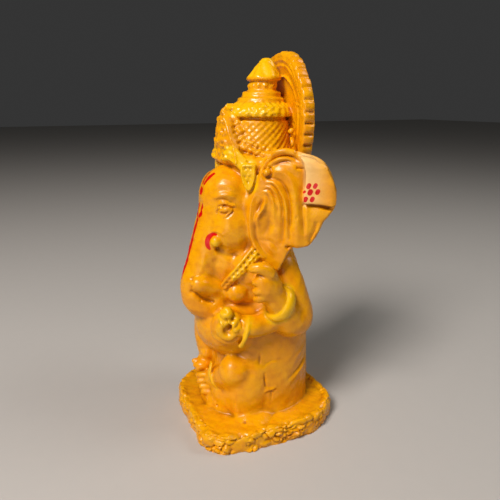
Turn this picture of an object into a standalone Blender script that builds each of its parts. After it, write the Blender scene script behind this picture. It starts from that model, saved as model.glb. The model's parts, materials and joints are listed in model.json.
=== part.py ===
# A seated elephant-headed figure with a tiered crown, a cupped halo and a rounded
# base, cast in plaster as one piece. It faces -Y, its left side is +X.
import math

import bmesh
import bpy
import numpy as np
from mathutils import Matrix, Vector

# Sizes in metres
FIGURE_HEIGHT = 0.143      # from the top of the base to the top of the halo
BASE_WIDTH = 0.0570        # side to side
BASE_DEPTH = 0.0606        # front to back
BASE_HEIGHT = 0.0070       # floor to the flat top of the base
BASE_RIM_RISE = 0.0011     # how far the rocky rim stands above that top
BASE_RIM_WIDTH = 0.0034
BASE_CORNER_POWER = 3.7    # 2 is an ellipse, higher is squarer
ROCK_DEPTH = 0.0007        # relief of the rocky side of the base
GRAIN = 0.0005             # edge of the cells that join the forms into one skin
TRIANGLES = 10200

# The figure's pose and proportions are shares of its own height: one unit is a
# 143rd of it, and heights in these units are counted from 7 at the base's top.
UNIT = FIGURE_HEIGHT / 143.0
FOOT_LEVEL = 7.0


def place(x, y, z):
    return Vector((x * UNIT, y * UNIT, BASE_HEIGHT + (z - FOOT_LEVEL) * UNIT))


def ball(form, centre, radii, tilt=(0.0, 0.0, 0.0), fine=3):
    # an ellipsoid, its tilt in degrees about X, Y and Z
    turn = Matrix.Rotation(math.radians(tilt[2]), 4, "Z")
    turn = turn @ Matrix.Rotation(math.radians(tilt[1]), 4, "Y")
    turn = turn @ Matrix.Rotation(math.radians(tilt[0]), 4, "X")
    size = Matrix.Diagonal((*(r * UNIT for r in radii), 1.0))
    where = Matrix.Translation(place(*centre)) @ turn @ size
    bmesh.ops.create_icosphere(form, subdivisions=fine, radius=1.0, matrix=where)


def smooth_row(values, share):
    # a Catmull-Rom curve through the values, share runs from 0 to 1
    last = len(values) - 1
    at = min(share * last, last - 1e-9)
    i = int(at)
    t = at - i
    rows = [np.array(values[min(max(k, 0), last)], float) for k in range(i - 1, i + 3)]
    a, b, c, d = rows
    return 0.5 * (2 * b + (c - a) * t + (2 * a - 5 * b + 4 * c - d) * t * t
                  + (3 * b - a - 3 * c + d) * t ** 3)


def tube(form, route, sizes, side=(1.0, 0.0, 0.0), steps=5, corners=20):
    # a rounded limb along the route, each size a radius or (across, through)
    count = (len(route) - 1) * steps
    sizes = [s if isinstance(s, tuple) else (s, s) for s in sizes]
    spots = [smooth_row(route, k / count) for k in range(count + 1)]
    widths = [np.maximum(smooth_row(sizes, k / count), 0.2) for k in range(count + 1)]
    rings = []
    for k, spot in enumerate(spots):
        ahead = Vector(spots[min(k + 1, count)] - spots[max(k - 1, 0)]).normalized()
        across = (Vector(side) - ahead * ahead.dot(Vector(side))).normalized()
        through = ahead.cross(across)
        ends = (0.0,)
        if k == 0:
            ends = (-0.98, -0.85, -0.55, 0.0)
        elif k == count:
            ends = (0.0, 0.55, 0.85, 0.98)
        for end in ends:
            shrink = math.sqrt(1.0 - end * end)
            centre = Vector(spot) + ahead * (end * min(widths[k]))
            ring = []
            for corner in range(corners):
                turn = 2 * math.pi * corner / corners
                point = centre + across * (widths[k][0] * shrink * math.cos(turn))
                point += through * (widths[k][1] * shrink * math.sin(turn))
                ring.append(form.verts.new(place(*point)))
            rings.append(ring)
    skin(form, rings)


def hoop(form, centre, axis, radii, thick):
    # a ring round a limb, square to the axis, with an oval of (across, through)
    axis = Vector(axis).normalized()
    across = axis.cross(Vector((0, 0, 1))).normalized()
    through = axis.cross(across)
    route = []
    for k in range(26):
        turn = 2 * math.pi * k / 25
        spot = across * (radii[0] * math.cos(turn)) + through * (radii[1] * math.sin(turn))
        route.append(tuple(Vector(centre) + spot))
    tube(form, route, [thick] * 26, side=tuple(axis), steps=1, corners=10)


def skin(form, rings):
    # walls between the rings and a cap at each end
    count = len(rings[0])
    for low, high in zip(rings, rings[1:]):
        for k in range(count):
            form.faces.new((low[k], low[(k + 1) % count], high[(k + 1) % count], high[k]))
    form.faces.new(rings[0][::-1])
    form.faces.new(rings[-1])


def turned(form, profile, middle, corners=48):
    # a turned shape from (radius, height) pairs, its axis leaning as middle(height) says
    rings = []
    for radius, height in profile:
        ring = []
        for corner in range(corners):
            turn = 2 * math.pi * corner / corners
            x, y = radius * math.cos(turn), radius * math.sin(turn)
            ring.append(form.verts.new(place(x, middle(height) + y, height)))
        rings.append(ring)
    skin(form, rings)


def leaf(form, outline, at, thick, steps=6):
    # a plate with rounded edges: the outline is a closed row of (s, t) pairs, and
    # at(s, t, n) gives the point of the figure that lies n off the plate's middle
    count = len(outline) * steps
    wrapped = list(outline[-1:]) + list(outline) + list(outline[:2])
    rim = []
    for k in range(count):
        share = (1 + k / steps) / (len(wrapped) - 1)
        rim.append(smooth_row(wrapped, share))
    middle = np.mean(rim, axis=0)
    rings = []
    for depth, spread in ((-0.5, 0.0), (-0.5, 0.35), (-0.5, 0.7), (-0.46, 0.93), (-0.25, 0.99), (0.0, 1.0),
                          (0.25, 0.99), (0.46, 0.93), (0.5, 0.7), (0.5, 0.35), (0.5, 0.0)):
        ring = []
        for s, t in rim:
            share = max(spread, 0.01)
            here = middle + (np.array((s, t)) - middle) * share
            ring.append(form.verts.new(place(*at(here[0], here[1], depth * thick))))
        rings.append(ring)
    skin(form, rings)


def joined(form, name, grain, rounds, strength=0.5):
    # closes the overlapping forms into one skin and softens where they meet
    bmesh.ops.recalc_face_normals(form, faces=form.faces)
    mesh = bpy.data.meshes.new(name)
    form.to_mesh(mesh)
    form.free()
    thing = bpy.data.objects.new(name, mesh)
    bpy.context.scene.collection.objects.link(thing)
    melt = thing.modifiers.new("One skin", "REMESH")
    melt.mode = "VOXEL"
    melt.voxel_size = grain
    if rounds:
        soften = thing.modifiers.new("Soften", "SMOOTH")
        soften.factor = strength
        soften.iterations = rounds
    return baked(thing)


def baked(thing):
    bpy.context.view_layer.update()
    graph = bpy.context.evaluated_depsgraph_get()
    mesh = bpy.data.meshes.new_from_object(thing.evaluated_get(graph))
    bpy.data.objects.remove(thing)
    return mesh


def base(form):
    # a rounded slab that runs a little below the floor, where it is cut flat later
    half_width, half_depth = BASE_WIDTH / 2, BASE_DEPTH / 2
    top, rise, rim = BASE_HEIGHT, BASE_RIM_RISE, BASE_RIM_WIDTH
    rows = [(-0.003, 0.0008), (0.0, 0.0004), (0.3 * top, 0.0), (0.7 * top, 0.0),
            (top, 0.0004), (top + rise, 0.3 * rim), (top + rise, 0.6 * rim), (top, rim),
            (top, rim + 0.004)]
    rings = []
    for height, inset in rows:
        ring = []
        for k in range(120):
            turn = 2 * math.pi * k / 120
            c, s = math.cos(turn), math.sin(turn)
            power = 2 / BASE_CORNER_POWER
            x = math.copysign(abs(c) ** power, c) * (half_width - inset)
            y = math.copysign(abs(s) ** power, s) * (half_depth - inset)
            wave = math.sin(5 * turn + 0.7) + 0.8 * math.sin(11 * turn + 2.0)
            swell = 1.0 + 0.0045 * wave
            lift = 0.0003 * math.sin(17 * turn + 1.0) if height > top else 0.0
            ring.append(form.verts.new((x * swell, y * swell, height + lift)))
        rings.append(ring)
    skin(form, rings)


def head(form):
    ball(form, (0, -3.0, 94), (13.6, 15.0, 15), fine=4)
    ball(form, (0, 4, 92), (14, 14, 21), fine=4)
    ball(form, (0, -8.0, 97.0), (12.0, 13.6, 12.4), fine=4)
    for side in (1, -1):
        ball(form, (side * 4.4, -10.8, 100.6), (7.2, 9.2, 8.2))
        ball(form, (side * 7.0, -10.0, 85.6), (6.9, 9.2, 10.4))
    # chin and throat, filled in behind the trunk
    ball(form, (0, -12, 72), (10.5, 9.5, 13.5), fine=4)
    ball(form, (0, -17, 66), (7.5, 6.5, 9.5))


def trunk(form):
    # down the front, then rolled up on itself with the tip inside
    route = [(0, -12, 97), (0, -15.2, 89), (0, -18.6, 80), (0.3, -21.8, 71), (0.8, -25.0, 63),
             (1.6, -24.4, 57.0), (3.0, -20.8, 54.8), (4.6, -17.6, 57.6)]
    sizes = [(10, 9.5), (9, 8.6), (7.8, 7.8), (6.8, 6.9), (6.2, 6.0), (5.6, 5.2), (5.2, 4.8),
             (4.6, 4.0)]
    tube(form, route, sizes, steps=6)
    tip = [(5.4, -15.6, 60.6), (7.0, -19.6, 62.6), (8.0, -23.8, 64.2), (8.2, -25.0, 67.0)]
    tube(form, tip, [4.0, 3.4, 2.8, 2.4])


def face(form):
    for side in (1, -1):
        ball(form, (side * 10.4, -13.6, 94.0), (3.0, 2.2, 2.0), (0, 0, side * 38))
        brow = [(side * 6.6, -18.9, 98.4), (side * 10.0, -16.4, 99.6), (side * 12.4, -12.4, 98.4)]
        tube(form, brow, [0.8, 1.1, 0.8], corners=10)
        lid = [(side * 8.4, -16.9, 93.8), (side * 10.8, -15.2, 96.0), (side * 13.0, -11.6, 94.8)]
        tube(form, lid, [0.7, 0.9, 0.7], corners=8)
        tusk = [(side * 7.0, -13, 84), (side * 8.6, -17.2, 82.0), (side * 9.2, -19.4, 81.2)]
        tube(form, tusk, [3.0, 2.5, 1.9], corners=14)


def ear_point(side, s, t, n):
    # s runs out from the root of the ear, t is the height, n stands off its front
    return (side * (14 + 0.573 * s + 0.819 * n), -5 + 0.819 * s - 0.573 * n, t)


EAR_EDGE = ((-1.6, 101), (1.5, 108), (7, 112.6), (15, 114.4), (22.4, 110), (27.4, 103.5),
            (29.2, 96.4), (28, 91.4), (23.4, 88), (21.4, 83), (18.4, 78.6), (12, 72.4),
            (8, 68.4), (3.6, 72.4), (-0.4, 80), (-2.2, 90))
EAR_FLAP = ((17.6, 108.6), (22, 108.2), (26.6, 102.8), (28.8, 97.2), (24, 96.2), (17.8, 97.6))


def ear(form, side):
    def plate(s, t, n):
        return ear_point(side, s, t, n)

    def flap(s, t, n):
        return ear_point(side, s, t, n + 1.9)

    leaf(form, EAR_EDGE, plate, 4.0)
    leaf(form, EAR_FLAP, flap, 3.0)
    folds = (
        (((0.5, 104), (2.6, 108), (8, 111), (15, 112), (21, 108.4), (25.4, 102.4)), 2.0, 2.2),
        (((3.5, 104.5), (8.5, 106.8), (14, 105.4), (16.8, 99), (17.2, 90), (15.6, 81)), 1.5, 2.2),
        (((2.5, 101), (7.5, 102.6), (11.6, 99.4), (13.4, 91), (12.6, 78)), 1.3, 2.0),
        (((1.5, 98), (5.5, 99), (8.8, 95.4), (10.0, 87), (9.6, 75)), 1.2, 2.0),
        (((0.0, 95), (3.4, 95.4), (5.8, 91.6), (6.8, 83), (6.4, 73)), 1.1, 2.0),
        (((-1.2, 101), (-2.0, 95), (-2.2, 88), (-0.8, 80), (2.6, 74)), 1.7, 1.6),
    )
    for path, radius, height in folds:
        route = [ear_point(side, s, t, height) for s, t in path]
        tube(form, route, [radius] * len(route), side=(side * 0.819, -0.573, 0), corners=12)


def body(form):
    route = [(0, 4, -4), (0, 4, 5), (0, 4, 10), (0, 4.4, 20), (0, 4.8, 32), (0, 5.6, 43),
             (0, 6.6, 54), (0, 6.6, 64), (0, 5.0, 74), (0, 2, 84)]
    sizes = [(21, 22.5), (20.4, 22), (19, 21.4), (19, 21.0), (18.4, 20.2), (17.4, 19.2),
             (16.8, 17.8), (15.4, 13.8), (12.5, 11.6), (10, 10)]
    tube(form, route, sizes, steps=4, corners=44)
    ball(form, (0, -7.6, 44.5), (16, 17.2, 15.5), fine=4)
    ball(form, (0, -4.4, 61), (14.2, 11.6, 10.5), fine=4)
    for side in (1, -1):
        ball(form, (side * 9.0, -9.8, 60.2), (4.8, 5.0, 4.8))
        ball(form, (side * 8.4, -5.0, 70), (8.0, 8.6, 11))
        # the root of the ear on the head
        ball(form, (side * 12.6, -1, 90), (5.0, 7.5, 16))


def raised_arm(form, side):
    # from the shoulder down to the elbow and up again to the fist
    route = [(13, 9, 69), (15.6, 11.6, 59), (16.6, 12.4, 47), (19.0, 7.6, 47.8), (20.8, 2.4, 56),
             (21.4, -0.6, 61)]
    route = [(side * x, y, z) for x, y, z in route]
    tube(form, route, [6.6, 7.0, 7.5, 6.8, 6.0, 5.8])
    ball(form, (side * 21.0, -4.0, 66.0), (5.0, 6.8, 8.4), (12, 0, 0))


def fist(form, side):
    fingers = (
        ((22.0, -1.5, 73.4), (21.8, -5.4, 74.9), (20.4, -9.6, 73.6)),
        ((23.9, -3.4, 70), (22.8, -8.2, 70.6), (19.8, -10.6, 69.2)),
        ((24.2, -3.8, 66.2), (22.9, -8.9, 66.8), (19.4, -11.2, 65.4)),
        ((23.7, -4.2, 62.4), (22.4, -8.6, 62.8), (19.2, -10.4, 61.8)),
    )
    for finger in fingers:
        tube(form, [(side * x, y, z) for x, y, z in finger], [1.7, 1.7, 1.5], corners=12)
    hoop(form, (side * 20.5, 2.6, 55.6), (side * 0.15, -0.6, 0.78), (5.6, 5.9), 1.5)


HAND = (15.4, -18.6, 49.6)


def facing(across, up, out):
    # a point round the middle of the left hand, whose palm looks outwards
    return (HAND[0] + 0.423 * across + 0.906 * out, HAND[1] + 0.906 * across - 0.423 * out, HAND[2] + up)


def left_forearm(form):
    route = [(14, 5, 60), (17.2, 4, 52), (17.4, -3, 48.4), (17.8, -10, 48.6), (16, -15, 49.4)]
    tube(form, route, [6, 5.4, 4.8, 4.4, 4.2])
    ball(form, facing(0, 0, -3.4), (6.0, 5.0, 6.6), (0, 0, 65))


def left_hand(form):
    # the curled fingers make two rings round the palm, a round sweet lies on top
    hoop(form, (17.7, -10.6, 48.6), (-0.3, -0.95, 0.1), (4.3, 5.6), 1.3)
    for reach, thick, out in ((5.4, 1.8, 0.2), (3.2, 1.3, 1.9)):
        ring = []
        for k in range(11):
            turn = math.radians(60 + 34 * k)
            ring.append(facing(reach * math.cos(turn), reach * 1.15 * math.sin(turn), out))
        tube(form, ring, [thick] * 11, side=(0.906, -0.423, 0), steps=3, corners=10)
    ball(form, facing(0.4, 7.0, 0.2), (3.2, 3.2, 3.1))
    ball(form, facing(1.4, 0.4, 2.6), (1.2, 1.2, 1.2))


def right_forearm(form):
    # the other forearm rests on the raised knee
    route = [(-15, 5, 60), (-18.6, 3, 51), (-18.6, -4, 48), (-17.2, -11, 49.5), (-15, -16, 52)]
    tube(form, route, [6, 6, 5.4, 4.4, 4.0])
    ball(form, (-14.2, -17.6, 55.0), (4.6, 2.8, 5.6), (10, 0, 12))


def right_hand(form):
    # its palm stands up and faces forward
    hoop(form, (-17.2, -10.6, 49.4), (0.3, -0.9, 0.3), (4.3, 4.6), 1.3)
    for k in range(4):
        x = -17.4 + 2.0 * k
        tube(form, [(x, -18.6, 57), (x, -18.8, 60.5), (x, -18.2, 63.4)], [1.3, 1.3, 1.1], corners=10)


def legs(form):
    # the left leg is folded flat, the right knee stands up
    tube(form, [(6, 8, 22), (10.0, -3, 26), (12, -9.6, 28.2)], [11.5, 9.6, 7.6])
    ball(form, (12.0, -12.0, 28.6), (7.3, 7.3, 7.3))
    ball(form, (10.0, -8.6, 15), (8.4, 8.8, 14))
    ball(form, (3.0, -11.0, 13), (12.5, 9.2, 9.5))
    tube(form, [(11, -12, 26), (7.4, -15, 22.5), (3, -16.2, 20)], [6.8, 5.6, 4.6])
    tube(form, [(3, -15.4, 20), (-1, -17.0, 17.8), (-3.0, -18.4, 16.4)], [4.8, 4.6, 4.0])
    tube(form, [(-9, 8, 24), (-12.8, -3, 33), (-13, -11.5, 42.0)], [11, 9.4, 7.0])
    tube(form, [(-12.2, -15.2, 43), (-11.6, -16.6, 34), (-11.0, -16.0, 25)], [6.0, 5.4, 4.4])
    tube(form, [(-11, -15, 24), (-10.2, -18, 22.0)], [4.6, 3.6])
    # the mound beneath the feet
    ball(form, (-2, -11, 8), (16, 11.5, 9.5))


def feet_and_folds(form):
    for k in range(5):
        x, y, z = -6.6 + 1.15 * k, -21.4 + 0.25 * k, 18.6 - 1.65 * k
        tube(form, [(x + 1.6, y + 3.0, z + 0.5), (x, y, z)], [1.2, 1.15], corners=10)
    tube(form, [(-10.8, -18, 22.8), (-10.2, -21.5, 22.2), (-9.8, -24.0, 21.4)], [2.4, 2.0, 1.4])
    tube(form, [(-7.4, -18, 21.8), (-7.2, -20.5, 21.2), (-7.0, -22.4, 20.2)], [2.2, 1.8, 1.4])
    anklet = [(2.6, -19.2, 25.2), (2.2, -20.6, 21.0), (3.0, -20.0, 16.4)]
    tube(form, anklet, [0.9, 1.1, 0.9], corners=10)
    # the hem of the cloth hangs from the knee to the base
    tube(form, [(17.0, -5.4, 38), (17.6, -8.4, 26), (14.8, -9.6, 8)], [1.5, 1.9, 2.6])
    tube(form, [(17.6, 9.0, 36), (15.8, 14.6, 31), (11.8, 19.8, 27)], [0.9, 1.3, 0.9], corners=12)
    tube(form, [(18.6, 9.0, 28.5), (16.2, 15.2, 23), (11.8, 20.6, 18.5)], [0.9, 1.3, 0.9], corners=12)


CROWN_AXIS = 3.0
CROWN_LEAN = 0.17
CROWN_PROFILE = ((8.0, 98), (13.8, 101), (15.0, 106), (14.2, 110), (12.8, 114), (12.0, 119), (11.4, 124.0),
                 (11.2, 125.2), (10.8, 125.8), (10.8, 126.8), (12.2, 127.2), (12.4, 128.2),
                 (11.2, 130.6), (9.4, 132.0), (8.5, 132.2), (8.5, 133.4), (7.1, 133.7),
                 (7.1, 135.5), (5.6, 135.8), (5.3, 137.0), (5.4, 138.6), (6.3, 139.0),
                 (6.5, 140.4), (5.0, 143.2), (3.3, 146.2), (2.3, 147.5), (0.4, 147.8))
PLAQUE = ((0, 130.6), (2.8, 128.6), (5.6, 126), (7.8, 121.5), (8.6, 116.5), (9.6, 112.5), (8.4, 108.2),
          (4, 107.2), (0, 106.8), (-4, 107.2), (-8.4, 108.2), (-9.6, 112.5), (-8.6, 116.5),
          (-7.8, 121.5), (-5.6, 126), (-2.8, 128.6))
FLAP = ((0, 0), (2.2, 0.6), (3.0, -2.6), (1.9, -6.6), (0, -9.2), (-1.9, -6.6), (-3.0, -2.6), (-2.2, 0.6))


def crown(form):
    turned(form, CROWN_PROFILE, lambda height: CROWN_AXIS + CROWN_LEAN * max(height - 128, 0))

    def front(s, t, n):
        # the plaque wraps round the front of the drum and leans back at its tip
        bend = s / 14.0
        out = 16.2 + n - max(0.0, t - 120) * 0.20 - max(0.0, 112 - t) * 0.30 - 0.045 * s * s
        return (out * math.sin(bend), CROWN_AXIS - out * math.cos(bend), t)

    leaf(form, PLAQUE, front, 5.6)
    for side in (1, -1):
        # the brim sweeps from under the plaque to the temple
        brim = [(0, -13.4, 110.4), (side * 6.4, -12.6, 111.6), (side * 11.4, -8.4, 110.6),
                (side * 14.4, -1.6, 108.2), (side * 14.6, 5, 107)]
        tube(form, brim, [1.8, 2.0, 2.0, 1.8, 1.6], corners=14)
        upper = [(x, y + 0.6, z + 3.2) for x, y, z in brim]
        tube(form, upper, [1.1] * 5, corners=10)

        def tongue(s, t, n):
            return (side * (13.4 + 0.5 * s + 0.8 * n + 0.05 * t), -8.0 + 0.8 * s - 0.6 * n, 110.4 + t)

        leaf(form, FLAP, tongue, 2.6)


def halo(form):
    # an upright shell behind the crown whose sides curve forward
    rings = []
    for lean, spread in ((0, 0.02), (0, 0.5), (0, 0.86), (0, 0.97), (2.4, 1.0), (4.6, 0.98), (5.2, 0.9),
                         (5.2, 0.5), (5.2, 0.02)):
        ring = []
        for k in range(72):
            turn = 2 * math.pi * k / 72
            x, z = 21.4 * math.cos(turn), math.sin(turn)
            z = 124.5 + (25.5 if z > 0 else 24.0) * z
            x, z = x * spread, 124.5 + (z - 124.5) * spread
            cup = 6.4 * (x / 21.4) ** 2
            ring.append(form.verts.new(place(x, 14.8 - cup + lean, z)))
        rings.append(ring)
    skin(form, rings)
    for radius, thick in ((0.80, 0.8), (0.62, 0.6)):
        route = []
        for k in range(19):
            turn = math.radians(-30 + 240 * k / 18)
            x = 21.4 * radius * math.cos(turn)
            route.append((x, 14.9 - 6.4 * (x / 21.4) ** 2, 124.5 + 25.5 * radius * math.sin(turn)))
        tube(form, route, [thick] * 19, side=(0, 1, 0), steps=2, corners=8)


def chest_cord(form):
    for side in (1, -1):
        route = [(side * 14.6, -6.0, 78.8), (side * 14.6, -9.2, 75.0), (side * 14.0, -11.8, 71.2),
                 (side * 12.6, -13.8, 67.2), (side * 10.4, -15.8, 62.6)]
        tube(form, route, [1.7, 1.8, 1.7, 1.5, 1.2], corners=10)


def carve(mesh):
    # relief worked into the skin: ribs round the halo's edge and the rocky base
    count = len(mesh.vertices)
    spots = np.empty(count * 3, np.float32)
    facing = np.empty(count * 3, np.float32)
    mesh.vertices.foreach_get("co", spots)
    mesh.vertex_normals.foreach_get("vector", facing)
    spots, facing = spots.reshape(-1, 3).astype(float), facing.reshape(-1, 3)
    x, y, z = spots.T
    ux, uy, uz = x / UNIT, y / UNIT, (z - BASE_HEIGHT) / UNIT + FOOT_LEVEL
    push = np.zeros(count)
    turn = np.arctan2((uz - 124.5) / 25.5, ux / 21.4)
    reach = np.hypot((uz - 124.5) / 25.5, ux / 21.4)
    edge = np.clip((reach - 0.86) / 0.1, 0, 1) * (uz > 110) * (uy > 5.5)
    push -= edge * 0.75 * UNIT * (0.5 + 0.5 * np.cos(turn * 34)) ** 2
    rocky = np.clip((np.maximum(abs(x) / (BASE_WIDTH / 2), abs(y) / (BASE_DEPTH / 2)) - 0.8) / 0.08, 0, 1)
    rocky *= (z < BASE_HEIGHT + 2 * BASE_RIM_RISE)
    round_base = np.arctan2(y / BASE_DEPTH, x / BASE_WIDTH)
    pattern = np.sin(31 * round_base + 900 * z) + np.sin(47 * round_base - 700 * z + 2)
    push += rocky * ROCK_DEPTH * 0.5 * pattern
    spots += facing * push[:, None]
    mesh.vertices.foreach_set("co", spots.astype(np.float32).ravel())


def paint(name, red, green, blue, roughness):
    skin_paint = bpy.data.materials.new(name)
    skin_paint.use_nodes = True
    shader = skin_paint.node_tree.nodes["Principled BSDF"]
    shader.inputs["Base Color"].default_value = (red, green, blue, 1.0)
    shader.inputs["Roughness"].default_value = roughness
    shader.inputs["Metallic"].default_value = 0.0
    return skin_paint


def cut_flat(mesh):
    # one flat face at floor level
    form = bmesh.new()
    form.from_mesh(mesh)
    parts = form.verts[:] + form.edges[:] + form.faces[:]
    bmesh.ops.bisect_plane(form, geom=parts, dist=1e-7, plane_co=(0, 0, 0), plane_no=(0, 0, 1),
                           clear_inner=True)
    rim = [e for e in form.edges if e.is_boundary]
    bmesh.ops.holes_fill(form, edges=rim)
    bmesh.ops.triangulate(form, faces=form.faces)
    form.to_mesh(mesh)
    form.free()


def figure():
    mass = bmesh.new()
    body(mass)
    head(mass)
    trunk(mass)
    legs(mass)
    left_forearm(mass)
    right_forearm(mass)
    for side in (1, -1):
        raised_arm(mass, side)
    mesh = joined(mass, "mass", 1.6 * GRAIN, 4)
    form = bmesh.new()
    form.from_mesh(mesh)
    base(form)
    face(form)
    for side in (1, -1):
        ear(form, side)
        fist(form, side)
    left_hand(form)
    right_hand(form)
    feet_and_folds(form)
    crown(form)
    halo(form)
    chest_cord(form)
    mesh = joined(form, "ganesha_statue", GRAIN, 1)
    carve(mesh)
    return mesh


def main():
    for thing in list(bpy.data.objects):
        bpy.data.objects.remove(thing)
    mesh = figure()
    statue = bpy.data.objects.new("ganesha_statue", mesh)
    bpy.context.scene.collection.objects.link(statue)
    fewer = statue.modifiers.new("Fewer faces", "DECIMATE")
    fewer.ratio = TRIANGLES / sum(len(p.vertices) - 2 for p in mesh.polygons)
    mesh = baked(statue)
    cut_flat(mesh)
    statue = bpy.data.objects.new("ganesha_statue", mesh)
    bpy.context.scene.collection.objects.link(statue)
    mesh.materials.clear()
    mesh.materials.append(paint("Gold-ochre gloss paint", 0.78, 0.36, 0.02, 0.3))
    mesh.shade_smooth()
    mesh.set_sharp_from_angle(angle=math.radians(60))


main()
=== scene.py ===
import json
import math
from functools import partial

import bmesh
import bpy
import numpy as np
from mathutils import Matrix, Vector, noise
from mathutils.bvhtree import BVHTree

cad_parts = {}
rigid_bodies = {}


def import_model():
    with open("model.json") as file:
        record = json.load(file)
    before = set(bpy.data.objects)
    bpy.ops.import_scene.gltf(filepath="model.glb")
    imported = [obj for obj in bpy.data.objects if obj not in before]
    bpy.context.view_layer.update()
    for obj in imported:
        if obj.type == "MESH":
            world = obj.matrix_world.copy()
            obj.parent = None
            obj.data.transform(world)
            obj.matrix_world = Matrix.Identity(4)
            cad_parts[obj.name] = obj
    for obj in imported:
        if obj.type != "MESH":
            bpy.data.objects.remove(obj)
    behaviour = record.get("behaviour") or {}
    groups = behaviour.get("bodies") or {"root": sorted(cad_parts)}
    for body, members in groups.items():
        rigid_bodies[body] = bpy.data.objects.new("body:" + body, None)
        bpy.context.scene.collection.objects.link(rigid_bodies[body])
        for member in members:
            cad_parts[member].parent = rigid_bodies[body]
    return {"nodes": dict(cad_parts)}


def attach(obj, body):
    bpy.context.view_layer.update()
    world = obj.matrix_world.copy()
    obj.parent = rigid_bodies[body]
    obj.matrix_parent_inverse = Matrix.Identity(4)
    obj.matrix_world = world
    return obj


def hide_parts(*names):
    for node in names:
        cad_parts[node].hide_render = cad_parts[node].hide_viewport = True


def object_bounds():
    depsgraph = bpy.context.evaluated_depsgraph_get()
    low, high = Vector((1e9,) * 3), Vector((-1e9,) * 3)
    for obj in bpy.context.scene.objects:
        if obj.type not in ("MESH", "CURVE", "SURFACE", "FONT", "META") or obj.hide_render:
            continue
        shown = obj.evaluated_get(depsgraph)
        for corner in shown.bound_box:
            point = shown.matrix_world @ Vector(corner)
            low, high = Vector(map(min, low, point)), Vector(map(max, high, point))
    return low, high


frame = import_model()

# A small seated elephant-headed figure, cast in one piece and painted.
# It faces -Y, its left side is +X. Lengths below are in millimetres of the real
# figure, which stands 150 tall with its base, and follow the frame if that changes.

cadLow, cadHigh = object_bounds()
nominalHeight = 150.0
unit = (cadHigh.z - cadLow.z) / nominalHeight

for thing in list(bpy.data.objects):
    if thing.name not in frame["nodes"] and not thing.name.startswith("body:"):
        bpy.data.objects.remove(thing)

# what a user would change on the statue's skin
statue = {
    "softGrain": 0.8, "softRounds": 4,       # cells that melt the body's masses together
    "fineGrain": 0.36, "fineRounds": 1,
    "triangles": 184000,
    "unevenness": 0.11,        # waves that hand finishing leaves all over the cast
    "crispFrom": 75.0,         # degrees between faces that keep a crisp edge
    "body": "root", "replaces": "ganesha_statue", "slot": "painted_plaster",
}

# golden paint is only colour: its routes and radii, filled in while the forms are made
goldSpots = []


def place(x, y, z):
    return Vector((x * unit, y * unit, z * unit + cadLow.z))


def gilded(points, radius):
    # a single point counts as a very short line
    points = list(points) + [tuple(c + 0.05 for c in points[-1])]
    goldSpots.append((np.array(points, float), radius))


def mirrored(points, side):
    return [(side * x, y, z) for x, y, z in points]


def ball(form, centre, radii, tilt=(0.0, 0.0, 0.0), fine=4):
    # an ellipsoid, its tilt in degrees about X, Y and Z
    turn = Matrix.Rotation(math.radians(tilt[2]), 4, "Z")
    turn = turn @ Matrix.Rotation(math.radians(tilt[1]), 4, "Y")
    turn = turn @ Matrix.Rotation(math.radians(tilt[0]), 4, "X")
    size = Matrix.Diagonal((*(r * unit for r in radii), 1.0))
    where = Matrix.Translation(place(*centre)) @ turn @ size
    bmesh.ops.create_icosphere(form, subdivisions=fine, radius=1.0, matrix=where)


def smoothRow(values, share):
    # a Catmull-Rom curve through the values, share runs from 0 to 1
    last = len(values) - 1
    at = min(share * last, last - 1e-9)
    i = int(at)
    t = at - i
    a, b, c, d = (np.array(values[min(max(k, 0), last)], float) for k in range(i - 1, i + 3))
    return 0.5 * (2 * b + (c - a) * t + (2 * a - 5 * b + 4 * c - d) * t * t
                  + (3 * b - a - 3 * c + d) * t ** 3)


def curved(points, count):
    return [smoothRow(points, k / (count - 1)) for k in range(count)]


def closeRings(form, rings):
    # walls between the rings and a cap at each end
    count = len(rings[0])
    for low, high in zip(rings, rings[1:]):
        for k in range(count):
            form.faces.new((low[k], low[(k + 1) % count], high[(k + 1) % count], high[k]))
    form.faces.new(rings[0][::-1])
    form.faces.new(rings[-1])


def tube(form, route, sizes, side=(1.0, 0.0, 0.0), steps=5, corners=20):
    # a rounded limb along the route, each size a radius or (across, through)
    count = (len(route) - 1) * steps
    sizes = [s if isinstance(s, tuple) else (s, s) for s in sizes]
    spots = [smoothRow(route, k / count) for k in range(count + 1)]
    widths = [np.maximum(smoothRow(sizes, k / count), 0.2) for k in range(count + 1)]
    rings = []
    for k, spot in enumerate(spots):
        ahead = Vector(spots[min(k + 1, count)] - spots[max(k - 1, 0)]).normalized()
        across = (Vector(side) - ahead * ahead.dot(Vector(side))).normalized()
        through = ahead.cross(across)
        ends = (0.0,)
        if k == 0:
            ends = (-0.98, -0.85, -0.55, 0.0)
        elif k == count:
            ends = (0.0, 0.55, 0.85, 0.98)
        for end in ends:
            shrink = math.sqrt(1.0 - end * end)
            centre = Vector(spot) + ahead * (end * min(widths[k]))
            ring = []
            for corner in range(corners):
                turn = 2 * math.pi * corner / corners
                point = centre + across * (widths[k][0] * shrink * math.cos(turn))
                point += through * (widths[k][1] * shrink * math.sin(turn))
                ring.append(form.verts.new(place(*point)))
            rings.append(ring)
    closeRings(form, rings)


def ringRoute(centre, axis, radii, count=26):
    axis = Vector(axis).normalized()
    across = axis.cross(Vector((0, 0, 1))).normalized()
    through = axis.cross(across)
    route = []
    for k in range(count):
        turn = 2 * math.pi * k / (count - 1)
        spot = across * (radii[0] * math.cos(turn)) + through * (radii[1] * math.sin(turn))
        route.append(tuple(Vector(centre) + spot))
    return route


def hoop(form, centre, axis, radii, thick, gold=0.0):
    # a bangle round a limb, square to the axis; thick is (along the limb, outwards)
    route = ringRoute(centre, axis, radii)
    tube(form, route, [thick] * len(route), side=tuple(Vector(axis).normalized()),
         steps=2, corners=14)
    if gold:
        gilded(route, gold)


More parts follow.
